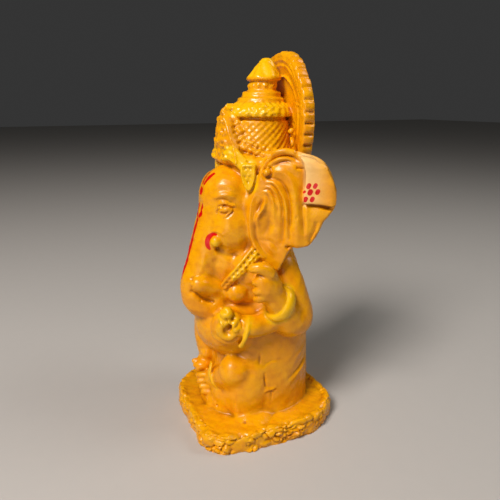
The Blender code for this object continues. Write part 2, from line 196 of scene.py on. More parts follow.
def turned(form, profile, middle, corners=96):
    # a turned shape from (radius, height) pairs, its axis leaning as middle(height) says
    rings = []
    for radius, height in profile:
        ring = []
        for corner in range(corners):
            turn = 2 * math.pi * corner / corners
            x, y = radius * math.cos(turn), radius * math.sin(turn)
            ring.append(form.verts.new(place(x, middle(height) + y, height)))
        rings.append(ring)
    closeRings(form, rings)


def leaf(form, outline, at, thick, steps=8):
    # a plate with rounded edges: the outline is a closed row of (s, t) pairs, and
    # at(s, t, n) gives the point of the figure that lies n off the plate's middle
    count = len(outline) * steps
    wrapped = list(outline[-1:]) + list(outline) + list(outline[:2])
    rim = [smoothRow(wrapped, (1 + k / steps) / (len(wrapped) - 1)) for k in range(count)]
    middle = np.mean(rim, axis=0)
    spreads = ((-0.5, 0.01), (-0.5, 0.35), (-0.5, 0.7), (-0.46, 0.94), (-0.25, 0.99),
               (0.0, 1.0))             # (depth, share of the way from the middle to the rim)
    rings = []
    for depth, spread in spreads + tuple((-d, s) for d, s in spreads[-2::-1]):
        ring = []
        for s, t in rim:
            here = middle + (np.array((s, t)) - middle) * spread
            ring.append(form.verts.new(place(*at(here[0], here[1], depth * thick))))
        rings.append(ring)
    closeRings(form, rings)


def added(name, data):
    # a new object in the scene
    made = bpy.data.objects.new(name, data)
    bpy.context.scene.collection.objects.link(made)
    return made


def baked(made):
    bpy.context.view_layer.update()
    graph = bpy.context.evaluated_depsgraph_get()
    mesh = bpy.data.meshes.new_from_object(made.evaluated_get(graph))
    bpy.data.objects.remove(made)
    return mesh


def joined(form, name, grain, rounds):
    # closes the overlapping forms into one skin and softens where they meet
    bmesh.ops.recalc_face_normals(form, faces=form.faces)
    mesh = bpy.data.meshes.new(name)
    form.to_mesh(mesh)
    form.free()
    made = added(name, mesh)
    melt = made.modifiers.new("One skin", "REMESH")
    melt.mode = "VOXEL"
    melt.voxel_size = grain * unit
    soften = made.modifiers.new("Soften", "SMOOTH")
    soften.factor = 0.5
    soften.iterations = rounds
    return baked(made)


# The masses of the body

def addBody(form):
    route = [(0, 4, -4), (0, 4, 5), (0, 4, 10), (0, 4.4, 20), (0, 4.8, 32), (0, 5.6, 43),
             (0, 6.6, 54), (0, 6.6, 64), (0, 5.0, 74), (0, 2, 84)]
    sizes = [(21, 22.5), (20.4, 22), (19, 21.4), (19, 21.0), (18.4, 20.2), (17.4, 19.2),
             (16.8, 17.8), (15.4, 13.8), (12.5, 11.6), (10, 10)]
    tube(form, route, sizes, steps=4, corners=44)
    ball(form, (0, -7.6, 44.5), (16, 17.2, 15.5))
    ball(form, (0, -4.4, 61), (14.2, 11.6, 10.5))
    for side in (1, -1):
        ball(form, (side * 10.4, -11.4, 60.9), (4.6, 4.7, 4.5))
        ball(form, (side * 8.4, -5.0, 70), (8.0, 8.6, 11))
        # the root of the ear on the head
        ball(form, (side * 12.6, -1, 90), (5.0, 7.5, 16))


def addHead(form):
    ball(form, (0, -3.0, 94), (13.6, 15.0, 15))
    ball(form, (0, 4, 92), (14, 14, 21))
    ball(form, (0, -8.0, 96.8), (12.0, 13.6, 12.6))
    for side in (1, -1):
        ball(form, (side * 4.6, -11.0, 98.8), (7.0, 8.7, 8.4))
        ball(form, (side * 7.2, -10.0, 86.0), (6.9, 9.2, 10.4))
    # chin and throat, filled in behind the trunk
    ball(form, (0, -12, 72), (10.5, 9.5, 13.5))
    ball(form, (0, -17, 66), (7.5, 6.5, 9.5))


def addTrunk(form):
    # down the front, then rolled up on itself with the tip inside
    route = [(0, -11.4, 97), (0, -14.2, 89), (0, -17.8, 80), (0.3, -21.4, 71),
             (0.8, -24.8, 62.6), (1.8, -24.0, 55.8), (3.4, -20.4, 54.0), (4.8, -17.4, 57.2)]
    sizes = [(10, 9.5), (9, 8.5), (7.8, 7.6), (6.8, 6.8), (6.2, 6.2), (5.9, 6.0), (5.4, 5.0),
             (4.6, 4.0)]
    tube(form, route, sizes, steps=6)
    tip = [(5.4, -15.6, 60.4), (6.6, -19.6, 62.4), (7.0, -23.4, 64.0), (6.8, -25.6, 64.9)]
    tube(form, tip, [4.0, 3.5, 3.2, 3.3])


def addRaisedArm(form, side):
    # from the shoulder down to the elbow and up again to the fist
    route = [(13, 7.4, 69), (15.2, 9.8, 60), (16.6, 12.0, 48.6), (19.0, 7.6, 48.6),
             (20.6, 2.6, 56), (21.2, -0.4, 60.6)]
    tube(form, mirrored(route, side), [6.2, 6.6, 7.2, 6.6, 5.3, 5.0])
    ball(form, (side * 21.0, -3.0, 64.6), (5.2, 5.8, 6.6), (12, 0, 0))
    ball(form, (side * 22.4, -5.0, 68.6), (3.4, 3.8, 5.2))
    finger = [(22.6, -2.0, 69.6), (24.0, -5.0, 72.8), (23.4, -8.0, 74.0), (22.2, -10.2, 73.6)]
    tube(form, mirrored(finger, side), [2.3, 2.5, 2.2, 1.9])


def addLeftForearm(form):
    route = [(14, 5, 60), (17.2, 4, 52), (17.4, -3, 48.4), (17.8, -10, 48.6), (16, -15, 49.4)]
    tube(form, route, [6, 5.4, 4.8, 4.4, 4.2])
    ball(form, palmPoint(0, -0.6, -3.2), (6.0, 5.0, 6.7), (0, 0, 65))


def addRightForearm(form):
    # the other forearm rests on the raised knee
    route = [(-15, 5, 60), (-18.6, 3, 51), (-18.6, -4, 48), (-17.2, -11, 49.5), (-15, -16, 52)]
    tube(form, route, [6, 6, 5.4, 4.4, 4.0])
    ball(form, (-14.2, -17.6, 55.0), (4.6, 2.8, 5.6), (10, 0, 12))


def addLegs(form):
    # the left leg is folded flat, the right knee stands up
    tube(form, [(6, 8, 22), (9.8, -3, 26), (10.8, -10.2, 27.6)], [11.5, 9.0, 5.6])
    ball(form, (10.9, -13.5, 26.0), (6.1, 6.0, 7.0))
    ball(form, (10.6, -12.2, 21.6), (5.2, 5.4, 9.0))
    # the edge of the cloth falls from the knee to the base
    tube(form, [(12.8, -8.4, 27), (14.6, -9.4, 23), (14.9, -9.8, 16), (13.8, -9.8, 9)],
         [2.4, 2.8, 3.0, 3.4])
    ball(form, (13.0, -6.6, 16), (5.6, 6.4, 13))
    ball(form, (10.0, -8.6, 15), (8.4, 8.8, 14))
    ball(form, (3.0, -11.0, 13), (12.5, 9.2, 9.5))
    tube(form, [(11, -12, 26), (7.4, -15, 22.5), (3, -16.2, 20)], [6.6, 5.4, 4.4])
    tube(form, [(3, -15.4, 20), (-1, -17.0, 17.8), (-3.0, -18.4, 16.4)], [4.8, 4.6, 4.0])
    tube(form, [(-9, 8, 24), (-12.8, -3, 33), (-13, -11.5, 42.0)], [11, 9.4, 7.0])
    tube(form, [(-12.2, -15.2, 43), (-11.6, -16.6, 34), (-11.0, -16.0, 25)], [6.0, 5.4, 4.4])
    tube(form, [(-11, -15, 24), (-9.8, -19.4, 20.8)], [4.6, 3.2])
    ball(form, (-9.2, -17.6, 26.2), (3.6, 3.0, 3.0))
    ball(form, (14.4, -5.6, 17), (4.4, 6.4, 13))
    # the mound beneath the feet
    ball(form, (-2, -11, 8), (16, 11.5, 9.5))
    # the seat runs out a little over the base beside the knee
    ball(form, (16.2, -7.0, 6.4), (8.6, 8.6, 2.5))
    ball(form, (3.2, -20.6, 8.2), (2.6, 2.2, 2.0))


# The base: a rounded slab that runs a little below the floor, where it is cut flat later
baseSize = {
    "width": 58.6, "depth": 61.2, "shift": 0.3, "height": 7.2, "rimRise": 0.4, "rimWidth": 3.4,
    "cornerPower": 4.1,        # 2 is an ellipse, higher is squarer
    # how far the edge is pushed at some places: (direction in radians, x, y, top)
    "corners": ((2.3, -0.6, 2.0, 0.0), (3.93, 0.5, 1.8, 0.0), (5.05, 1.2, -1.0, 0.0),
                (0.62, -0.9, -1.2, 0.0), (0.1, 0.8, 0.0, 0.0), (1.25, 0.0, 0.3, 1.4)),
    "cornerSpread": 0.32,      # radians to each side
    "steps": 180,
}
# its edge is left rough like broken stone
stoneEdge = {
    "from": 0.885, "over": 0.04,       # share of the way from the middle where it starts
    "above": 2.4,                      # mm over the top of the slab
    "depth": 2.0, "ridgeSize": 5.0, "chipSize": 2.2, "warp": 0.8, "warpSize": 2.6,
    "closedSize": 3.4, "swellSize": 6.0, "crackWidth": 0.3,
    "squeeze": 0.62,                   # the lumps lie along the edge
    "cracks": 0.75, "ridges": 0.22, "swells": 0.55, "lift": 0.08,
    "least": 0.45,                     # share of the depth far from the right front corner
    "seed": 5,                         # the same stones each run
}


def addBase(form):
    halfWidth, halfDepth = baseSize["width"] / 2, baseSize["depth"] / 2
    top, rise, rim = baseSize["height"], baseSize["rimRise"], baseSize["rimWidth"]
    rows = [(-3.0, 0.8), (0.0, 0.4), (0.3 * top, 0.0), (0.7 * top, 0.0), (top, 0.4),
            (top + rise, 0.3 * rim), (top + rise, 0.6 * rim), (top, rim), (top, rim + 4.0)]
    power = 2 / baseSize["cornerPower"]
    rings = []
    for height, inset in rows:
        raised = height > top
        ring = []
        for k in range(baseSize["steps"]):
            turn = 2 * math.pi * k / baseSize["steps"]
            c, s = math.cos(turn), math.sin(turn)
            x = math.copysign(abs(c) ** power, c) * (halfWidth - inset)
            y = math.copysign(abs(s) ** power, s) * (halfDepth - inset)
            swell = 1.0 + 0.0045 * (math.sin(5 * turn + 0.7) + 0.8 * math.sin(11 * turn + 2.0))
            lift = 0.35 * math.sin(7 * turn + 1.0) + 0.2 * math.sin(17 * turn) if raised else 0.0
            x, y = x * swell, y * swell + baseSize["shift"]
            for direction, east, north, up in baseSize["corners"]:
                share = math.exp(-((turn - direction) / baseSize["cornerSpread"]) ** 2)
                x, y = x + east * share, y + north * share
                lift += up * share if raised else 0.0
            ring.append(form.verts.new(place(x, y, height + lift)))
        rings.append(ring)
    closeRings(form, rings)


def baseReach(x, y):
    # 0 over the middle of the base, 1 at its edge
    power = baseSize["cornerPower"]
    halves = baseSize["width"] / 2, baseSize["depth"] / 2
    return (abs(x / halves[0]) ** power + abs(y / halves[1]) ** power) ** (1 / power)


# The face: eyes, tusk stumps
faceSize = {
    "eye": (9.8, -15.5, 93.8), "eyeBall": (2.7, 1.75, 1.3), "eyeTurn": 42,
    "tusk": ((6.4, -13, 84.6), (8.0, -17.0, 82.6), (8.9, -18.9, 81.6)),
    "tuskRadii": (2.6, 2.5, 2.2), "tuskTip": (9.8, -20.4, 80.8), "tuskPaint": 1.9,
}


def addFace(form, side):
    eye, tip = mirrored([faceSize["eye"], faceSize["tuskTip"]], side)
    ball(form, eye, faceSize["eyeBall"], (0, 0, side * faceSize["eyeTurn"]))
    tusk = mirrored(faceSize["tusk"], side)
    tube(form, tusk, faceSize["tuskRadii"])
    gilded([tusk[2], tip], faceSize["tuskPaint"])


# The ears: a plate turned a little forward, with folds drawn on its front.
# Points on it are (s, t): s runs out from the root, t is the height.
earSize = {
    "turn": 35.0, "root": (14.0, -5.0), "thick": 4.0, "flapThick": 3.4, "flapUp": 1.8,
    "knob": (4.4, 107.7), "knobRadius": 1.35, "knobUp": 2.0,
    "knobRing": 1.9, "ringDepth": 0.9, "ringWidth": 0.4,
    "strokes": 0.88,           # share of the full depth that the tool strokes keep
}
earSine, earCosine = (f(math.radians(earSize["turn"])) for f in (math.sin, math.cos))
earEdge = ((-0.4, 101.5), (1.5, 108), (4.8, 112.8), (9, 115.2), (14.5, 115.5), (20.3, 114.4),
           (23.9, 112), (26.8, 108.2), (28.8, 103.2), (29.4, 98.6), (28.7, 95), (26.8, 91.8),
           (25.0, 89.6), (24.0, 86.8), (21.8, 82.8), (20.2, 80.7), (17.6, 80.1), (14.6, 79.9),
           (12.6, 77.6), (11.0, 74.2), (9.0, 70.0), (7.4, 69.7), (5.4, 71.6), (2.4, 74.6),
           (0.0, 78), (-1.6, 82), (-2.3, 87), (-2.4, 92), (-1.8, 97))
earFlap = ((15.6, 114.8), (17.3, 111.6), (18.2, 108), (18.2, 104.4), (17.7, 100.6), (17.8, 96.9),
           (20.5, 96.8), (23.6, 96.6), (26.6, 96.1), (29.0, 96.2), (29.3, 98.8), (28.7, 103.2),
           (26.7, 108.1), (23.8, 111.8), (20.2, 114.2))

# tool strokes on the ear: points, rise along the stroke (below 0 is a groove), half width
earStrokes = (
    (((2.7, 110.8), (4.8, 113.2), (7.8, 114.5), (11, 115.0), (15, 114.6)), (0.5, 1.3, 1.4, 1.3,
     0.4), 1.2),
    (((2.9, 108.8), (4.1, 110.8), (5.9, 112.4), (8.0, 113.4), (10.4, 113.7), (13.0, 113.3),
     (15.4, 112.0)), (-1.2, -1.8, -2.0, -2.0, -1.8, -1.5, -0.5), 0.5),
    (((6.3, 111.2), (8.4, 112.3), (10.8, 112.7), (13.2, 112.2)), (0.2, 0.6, 0.6, 0.2), 0.6),
    (((5.6, 109.3), (7.7, 110.5), (9.8, 111.4), (12.2, 111.7), (14.6, 111.0)), (-0.4, -0.8, -0.8,
     -0.6, -0.2), 0.4),
    (((9.4, 109.3), (12.4, 109.6), (14.9, 108.6), (16.4, 106.0)), (0.2, 0.5, 0.5, 0.2), 1.4),
    (((17.2, 108.5), (17.4, 104.3), (17.2, 100.0), (17.3, 95.6), (17.8, 90.9), (18.3, 86.4)), (-0.3,
     -0.8, -1.0, -1.0, -0.8, -0.4), 1.0),
    (((18.7, 94.8), (19.2, 89.4), (19.3, 84.2)), (0.3, 0.6, 0.3), 0.9),
    (((5.9, 107.9), (8.1, 108.2), (10.2, 107.8), (12.0, 106.4), (13.4, 104.0), (14.4, 101.0),
     (15.1, 97.0), (15.4, 92.6), (15.5, 87.8), (15.6, 84.4), (15.6, 82.0)), (0.2, 0.7, 1.0, 1.1,
     1.2, 1.3, 1.3, 1.4, 1.4, 1.4, 1.2), (0.8, 1.0, 1.3, 1.5, 1.6, 1.7, 1.8, 1.9, 2.1, 2.2, 2.2)),
    (((3.5, 105.0), (6.0, 105.5), (8.1, 105.0), (9.9, 103.8), (11.4, 101.6), (12.6, 98.0),
     (13.1, 93.7), (13.1, 88.8), (12.8, 83.9)), (-0.2, -0.8, -0.9, -1.0, -1.1, -1.1, -1.1, -1.0,
     -0.5), 0.65),
    (((4.2, 103.9), (6.4, 104.1), (8.2, 102.9), (9.6, 100.8), (10.8, 98.3), (11.6, 95.1),
     (11.7, 90.6), (11.6, 85.6)), (0.1, 0.6, 0.8, 0.9, 1.0, 1.0, 0.7, 0.1), (0.5, 0.6, 0.6, 0.7,
     0.7, 0.8, 0.8, 0.8)),
    (((4.0, 103.0), (6.2, 103.2), (7.9, 101.8), (9.2, 99.4), (10.1, 96.6), (10.5, 94.4)), (-0.2,
     -0.5, -0.6, -0.6, -0.6, -0.4), 0.35),
    (((3.5, 102.2), (5.7, 102.4), (7.3, 101.0), (8.6, 98.5), (9.3, 95.3), (9.5, 91.4)), (0.1, 0.6,
     0.8, 0.8, 0.7, 0.2), 0.55),
    (((10.3, 94.3), (10.6, 89.8), (10.5, 84.9), (10.0, 81.2)), (-0.3, -1.1, -1.1, -0.3), 0.9),
    (((3.2, 101.2), (5.1, 101.6), (6.7, 99.8), (7.7, 97.0)), (-0.2, -0.5, -0.5, -0.2), 0.35),
    (((2.8, 100.2), (4.6, 100.6), (6.1, 99.2), (7.0, 96.8), (7.2, 93.8), (7.1, 90.6)), (0.1, 0.7,
     0.8, 0.8, 0.6, 0.1), 0.6),
    (((2.8, 97.4), (2.0, 95.8), (1.4, 94.2)), (-0.6, -1.2, -0.6), 0.8),
    (((3.8, 98.6), (3.8, 96.2), (2.9, 94.0), (1.5, 92.1), (0.8, 90.2), (1.2, 88.4)), (0.3, 1.0, 1.1,
     1.1, 1.0, 0.3), 0.75),
    (((4.5, 91.6), (5.2, 89.4), (4.8, 86.8), (3.4, 84.9)), (-0.7, -1.2, -1.1, -0.5), 1.6),
    (((0.0, 101.2), (-1.1, 96.4), (-1.5, 92.0), (-1.4, 87.0), (-0.7, 82.5), (1.2, 78.7),
     (3.7, 75.8), (6.4, 73.0), (8.0, 70.8)), (0.2, 0.9, 1.1, 1.1, 1.1, 1.1, 1.0, 0.9, 0.6), 1.0),
    (((0.6, 91.0), (0.4, 86.6), (0.9, 82.6), (2.8, 79.2)), (-0.2, -0.6, -0.6, -0.2), 0.6),
    (((4.4, 80.8), (5.9, 79.5), (6.9, 77.6)), (0.2, 0.5, 0.3), 1.4),
    (((2.6, 82.6), (4.6, 82.4), (7.2, 81.4), (9.2, 79.2)), (-0.2, -0.5, -0.4, -0.1), 0.8),
    (((12.2, 80.2), (13.0, 79.8), (13.8, 80.0)), (-1.2, -2.2, -1.2), 0.7),
    (((22.6, 89.4), (22.2, 86.4), (21.0, 82.8)), (-0.8, -1.3, -1.0), 1.0),
    (((18.0, 96.3), (20.5, 96.2), (23.4, 96.0), (26.2, 95.4), (28.9, 94.8)), (-0.6, -1.4, -1.8,
     -1.9, -1.6), 0.6),
    (((15.6, 96.8), (15.6, 96.5)), -0.35, 0.3),
    (((15.5, 91.8), (15.5, 91.3)), -0.4, 0.4),
)


def earPoint(side, s, t, n):
    # n stands off the front of the plate's middle
    rootX, rootY = earSize["root"]
    return (side * (rootX + earSine * s + earCosine * n), rootY + earCosine * s - earSine * n, t)


def addEar(form, side):
    leaf(form, earEdge, partial(earPoint, side), earSize["thick"], 4)
    up = earSize["flapUp"]
    leaf(form, earFlap, lambda s, t, n: earPoint(side, s, t, n + up), earSize["flapThick"], 4)
    ball(form, earPoint(side, *earSize["knob"], earSize["knobUp"]), (earSize["knobRadius"],) * 3)


# The hands
leftPalm = {"middle": (15.9, -17.5, 48.9), "across": (0.423, 0.906)}


def palmPoint(across, up, out):
    # a point round the middle of the left hand, whose palm looks outwards
    (x, y, z), (east, north) = leftPalm["middle"], leftPalm["across"]
    return (x + east * across + north * out, y + north * across - east * out, z + up)


def addLeftHand(form):
    # the fingers curl round in a ring, their tips bend into the palm, a sweet lies on top
    hoop(form, (17.6, -11.3, 46.6), (-0.3, -0.92, 0.3), (4.3, 5.9), (0.95, 0.85), gold=1.3)
    east, north = leftPalm["across"]
    for reach, thick, out, gold in ((5.0, 1.75, 0.0, 0.0), (2.9, 1.45, 1.7, 1.4)):
        ring = []
        for k in range(13):
            turn = math.radians(70 + 29 * k)
            ring.append(palmPoint(reach * math.cos(turn), reach * 1.1 * math.sin(turn), out))
        tube(form, ring, [thick] * 13, side=(north, -east, 0), steps=3, corners=14)
        if gold:
            gilded(ring, gold)
    sweet = palmPoint(-0.4, 6.6, 1.6)
    ball(form, sweet, (2.6, 2.6, 2.5), (0, 18, 0))
    gilded([sweet], 3.2)
    for turn, bend in ((120, 2.6), (84, 2.4), (48, 2.3), (8, 2.5)):
        c, s = math.cos(math.radians(turn)), math.sin(math.radians(turn))
        finger = [palmPoint(4.9 * c, 4.9 * s, 1.6), palmPoint(3.2 * c, 3.4 * s, 3.0),
                  palmPoint(bend * c, bend * s - 0.2, 2.7)]
        tube(form, finger, [1.15, 1.1, 0.95], corners=14)
        gilded(finger, 1.3)


def addRightHand(form):
    # its palm stands up and faces forward
    hoop(form, (-17.2, -10.6, 49.4), (0.3, -0.9, 0.3), (4.4, 4.7), (1.2, 1.1), gold=1.5)
    for k in range(4):
        x = -17.4 + 2.0 * k
        finger = [(x, -18.6, 57), (x, -18.8, 60.5), (x, -18.2, 63.4)]
        tube(form, finger, [1.1, 1.1, 0.95], corners=12)


fistFingers = (
    ((23.8, -5.4, 68.0), (23.1, -7.7, 68.2), (22.2, -8.9, 68.2)),
    ((24.0, -5.6, 65.0), (23.2, -7.9, 65.0), (22.4, -8.8, 64.7)),
    ((23.4, -5.6, 62.0), (22.8, -7.5, 61.8), (22.0, -8.3, 61.5)),
)


def addFist(form, side):
    # under the first finger the others are only bent ends on the palm
    for finger in fistFingers:
        tube(form, mirrored(finger, side), [1.6, 1.7, 1.4], corners=14)
    gilded([(side * 23.6, -6.2, 69.0), (side * 23.4, -6.4, 63.0)], 1.5)
    gilded([(side * 24.2, -5.4, 73.4), (side * 22.6, -9.8, 74.2)], 1.2)
    ball(form, (side * 23.2, -4.8, 66.2), (3.0, 4.0, 6.4), (10, 0, 0))
    hoop(form, (side * 20.6, 2.4, 57.0), (side * 0.2, -0.8, 0.55), (5.1, 5.9), (2.5, 1.45),
         gold=2.8)


# The feet: toes pointing forward, two anklets
footSize = {
    "leftToes": ((-4.4, -23.4, 18.5), (-3.4, -23.3, 16.1), (-2.2, -22.9, 13.9),
                 (-0.8, -22.5, 12.0)),
    "rightToes": ((-10.4, -23.3, 22.2), (-8.9, -23.2, 20.7), (-7.4, -22.6, 19.4)),
    "toe": 1.15, "anklets": (0.9, 2.1), "ankletRadii": (0.45, 0.55, 0.55, 0.45), "paint": 0.8,
}


def addFeet(form):
    for x, y, z in footSize["leftToes"]:
        toe = [(x + 2.8, y + 3.4, z + 0.9), (x + 0.2, y - 0.2, z)]
        tube(form, toe, [footSize["toe"]] * 2, corners=12)
    ball(form, (-9.0, -19.8, 20.8), (3.6, 4.0, 2.6), (8, 0, 12))
    for x, y, z in footSize["rightToes"]:
        tube(form, [(x + 0.3, y + 3.0, z), (x, y, z)], [1.25, 1.05], corners=12)
    for x in footSize["anklets"]:
        anklet = [(x, -19.4, 26.6), (x + 1.9, -21.0, 22.6), (x + 3.3, -20.4, 19.2),
                  (x + 4.2, -18.8, 16.8)]
        tube(form, anklet, footSize["ankletRadii"], corners=10)
        gilded(anklet, footSize["paint"])


# The crown: a lattice drum under a small roof, tiers and a finial, with a leaf plaque
crownSize = {
    "middle": 3.0, "lean": 0.17, "leanFrom": 128.0,
    # heights in mm: from, soft edge, to, soft edge
    "drum": (109, 2, 125.0, 0.8), "roof": (127.0, 0.8, 132.2, 1.0),
    "finial": (140.2, 0.6, 147.0, 1.0),
    "ropes": 27, "ropePitch": 2.5, "ropeDepth": 0.22, "leafDepth": 0.2,
    "scallops": 26, "scallopDepth": 0.3, "scallopsAt": 127.0,
    "beads": 12, "beadDepth": 0.35, "beadsAt": 137.4, "facetDepth": 0.5,
}
crownProfile = (
    (8.0, 98), (13.6, 101), (14.6, 106), (14.2, 110), (13.2, 113), (12.2, 117), (11.6, 121),
    (11.3, 124.4), (11.2, 125.0), (10.2, 125.3), (10.2, 126.4), (12.3, 126.6), (12.6, 127.8),
    (11.4, 129.9), (8.9, 131.8), (8.8, 133.1), (7.3, 133.4), (7.3, 135.2), (5.5, 135.6),
    (5.1, 136.5), (5.5, 137.4), (5.3, 138.3), (4.9, 139.1), (6.5, 139.6), (6.5, 140.5),
    (5.2, 142.4), (2.9, 145.6), (1.8, 147.2), (0.4, 147.4))
plaqueSize = {
    "reach": 13.6, "thick": 5.2, "lean": 0.19, "leanFrom": 122,
    "swells": ((1.3, 117.6, 2.6), (0.5, 112.6, 1.4)),          # how far out, height, how wide
    "scrolls": ((112.4, 2.2), (117.0, 2.0), (121.4, 1.6), (125.2, 1.1)),       # height, radius
    "stem": (111.0, 114.0, 117.6, 121.6, 125.4, 128.2),        # heights of the beads
}
plaque = ((0, 131.2), (1.6, 128.4), (3.8, 125.4), (6.0, 121.6), (7.8, 117.4), (9.4, 113.4),
          (10.0, 110.6), (5.2, 109.6), (0, 109.2), (-5.2, 109.6), (-10.0, 110.6), (-9.4, 113.4),
          (-7.8, 117.4), (-6.0, 121.6), (-3.8, 125.4), (-1.6, 128.4))
brim = ((0, -12.5, 110.8), (3.4, -12.9, 111.3), (6.2, -13.0, 112.0), (8.4, -11.8, 111.6),
        (10.4, -10.4, 110.0), (12.4, -8.8, 107.8))
brimBands = ((0.0, 0.0, 0.95), (1.75, 0.25, 0.9), (3.5, 0.7, 0.8))     # up, inwards, radius
tongue = ((0, 1.4), (2.6, 1.2), (3.0, -1.4), (2.4, -5.0), (0.1, -8.6), (-2.2, -5.0),
          (-2.9, -1.4), (-2.5, 1.2))
tonguePits = ((-0.8, 0.0), (0.9, 0.0), (0.0, -1.6), (-0.9, -3.0), (0.8, -3.0), (0.0, -4.8))


def crownMiddle(height):
    return crownSize["middle"] + crownSize["lean"] * max(height - crownSize["leanFrom"], 0)


def crownPoint(turn, reach, height):
    # turn is in degrees from the front towards +X
    angle = math.radians(turn)
    return (reach * math.sin(angle), crownMiddle(height) - reach * math.cos(angle), height)


def plaquePoint(s, t, n):
    # the plaque wraps round the front of the drum and swells above the brow
    bulge = sum(far * math.exp(-((t - at) / wide) ** 2) for far, at, wide in plaqueSize["swells"])
    lean = max(0.0, t - plaqueSize["leanFrom"]) * plaqueSize["lean"]
    out = plaqueSize["reach"] + n + bulge * math.exp(-(s / 5.5) ** 2) - lean
    bend = s / 14.0
    return (out * math.sin(bend), crownSize["middle"] - out * math.cos(bend), t)


def tonguePoint(side, s, t, n):
    # a small flap that hangs from the brim over the temple
    return (side * (12.9 + 0.5 * s + 0.8 * n - 0.04 * t), -7.4 + 0.84 * s - 0.55 * n, 109.0 + t)


def addCrown(form):
    turned(form, crownProfile, crownMiddle)
    leaf(form, plaque, plaquePoint, plaqueSize["thick"])
    for side in (1, -1):
        # curls run down both sides of the plaque, on to the drum
        for k, (s, t) in enumerate(curved(plaque[1:7], 9)):
            size = 1.5 + 0.35 * (k % 2)
            ball(form, plaquePoint(side * (s + 0.9), t - 0.6, -1.9), (size, size, size), fine=3)
        # the mass under the brim and behind the bands
        under = [(0, -10.4, 111.6), (side * 5.6, -9.6, 112.0), (side * 9.4, -6.8, 110.6),
                 (side * 12.2, -2.2, 109.6), (side * 12.6, 4, 109.4)]
        tube(form, under, [3.0, 3.0, 2.9, 2.8, 2.6])
        for up, inwards, thick in brimBands:
            band = [(side * x * (1 - 0.05 * inwards), y + inwards, z + up) for x, y, z in brim]
            tube(form, band, [thick] * 6, corners=14)
            gilded(band[1:], thick + 0.5)
        leaf(form, tongue, partial(tonguePoint, side), 2.6)
        gilded([tonguePoint(side, 0, 0.2, 1.0), tonguePoint(side, 0, -6.0, 1.0)], 3.6)
        # curls and beads along the lower edge of the drum
        for k in range(9):
            share = k / 8
            turn, height = 38 + 52 * share, 116.0 - 3.8 * share
            ball(form, crownPoint(side * turn, 13.0, height), (1.25, 1.25, 1.1), fine=3)
            ball(form, crownPoint(side * (turn + 3), 12.4, height + 2.0), (0.8, 0.8, 0.8), fine=3)
        # a bead and a curl where the drum meets the halo
        ball(form, (side * 13.6, 9.6, 121.6), (1.1, 1.1, 1.1), fine=3)
        curl = [(side * 14.2, 9.4, 118.8), (side * 15.6, 9.0, 118.0), (side * 16.0, 9.0, 116.6),
                (side * 14.8, 9.2, 116.0)]
        tube(form, curl, [0.6, 0.7, 0.7, 0.6], corners=12)


# The halo: an upright shell behind the crown, its sides a little forward, ribbed at the edge
haloSize = {
    "halfWidth": 21.4, "up": 25.5, "down": 24.0, "middle": 124.5, "front": 12.2,
    "cup": 2.6, "thick": 4.9, "nod": 0.008, "nodFrom": 128.0, "nodOver": 12.8,
    "ribs": 38, "ribDepth": 1.15, "ribsFrom": 0.965, "ribsOver": 0.02,
    "lines": ((0.88, 0.5), (0.80, 0.28), (0.66, 0.32)),        # share of the width, radius
    "steps": 144,
}


def haloFront(x, z):
    # the front face lies at this y; the top nods forward
    nod = 0.9 - haloSize["nod"] * min(max(z - haloSize["nodFrom"], 0), haloSize["nodOver"]) ** 2
    return haloSize["front"] - haloSize["cup"] * (x / haloSize["halfWidth"]) ** 2 + nod


def haloSpot(turn, spread, lean):
    x, z = haloSize["halfWidth"] * math.cos(turn), math.sin(turn)
    z = z * (haloSize["up"] if z > 0 else haloSize["down"])
    x, z = x * spread, haloSize["middle"] + z * spread
    return (x, haloFront(x, z) + lean, z)


def addHalo(form):
    thick, steps = haloSize["thick"], haloSize["steps"]
    rings = []
    for lean, spread in ((0.4, 0.02), (0.3, 0.5), (0.0, 0.84), (-0.3, 0.94), (0.3, 0.985),
                         (0.5 * thick, 1.0), (thick - 0.6, 0.985), (thick, 0.9), (thick, 0.5),
                         (thick, 0.02)):
        rings.append([form.verts.new(place(*haloSpot(2 * math.pi * k / steps, spread, lean)))
                      for k in range(steps)])
    closeRings(form, rings)
    # raised lines follow the edge on the front
    for spread, radius in haloSize["lines"]:
        route = [haloSpot(math.radians(-36 + 252 * k / 30), spread, -0.05) for k in range(31)]
        tube(form, route, [radius] * 31, side=(0, 1, 0), steps=2, corners=10)


# The cord over the chest: two strands twisted together, a thin one beside them
cordSize = {
    "wide": 2.4, "narrow": 0.9, "through": 1.5, "beside": 0.8, "paint": 2.7,
    "flat": (0.5, 0.65, -0.57),        # across the braid on the left side
    "stitches": 11, "pitDepth": 0.8, "pitWidth": 0.55, "pitReach": 0.45,
}
cordRoute = ((14.4, -3.4, 78.0), (15.0, -6.9, 75.0), (14.8, -11.0, 71.0), (13.4, -14.2, 67.4),
             (11.0, -16.2, 63.6))


def addCord(form, side):
    route = mirrored(cordRoute, side)
    wide, narrow, through = cordSize["wide"], cordSize["narrow"], cordSize["through"]
    sizes = [(wide + (narrow - wide) * k / 4, through - 0.08 * k) for k in range(5)]
    tube(form, route, sizes, side=mirrored([cordSize["flat"]], side)[0], corners=16)
    gilded(curved(route, 20)[:13], cordSize["paint"])
    beside = [(x - side * 0.3, y - 2.0 + 0.2 * k, z + 1.6 - 0.2 * k)
              for k, (x, y, z) in enumerate(route)]
    tube(form, beside, [cordSize["beside"]] * 5, corners=10)


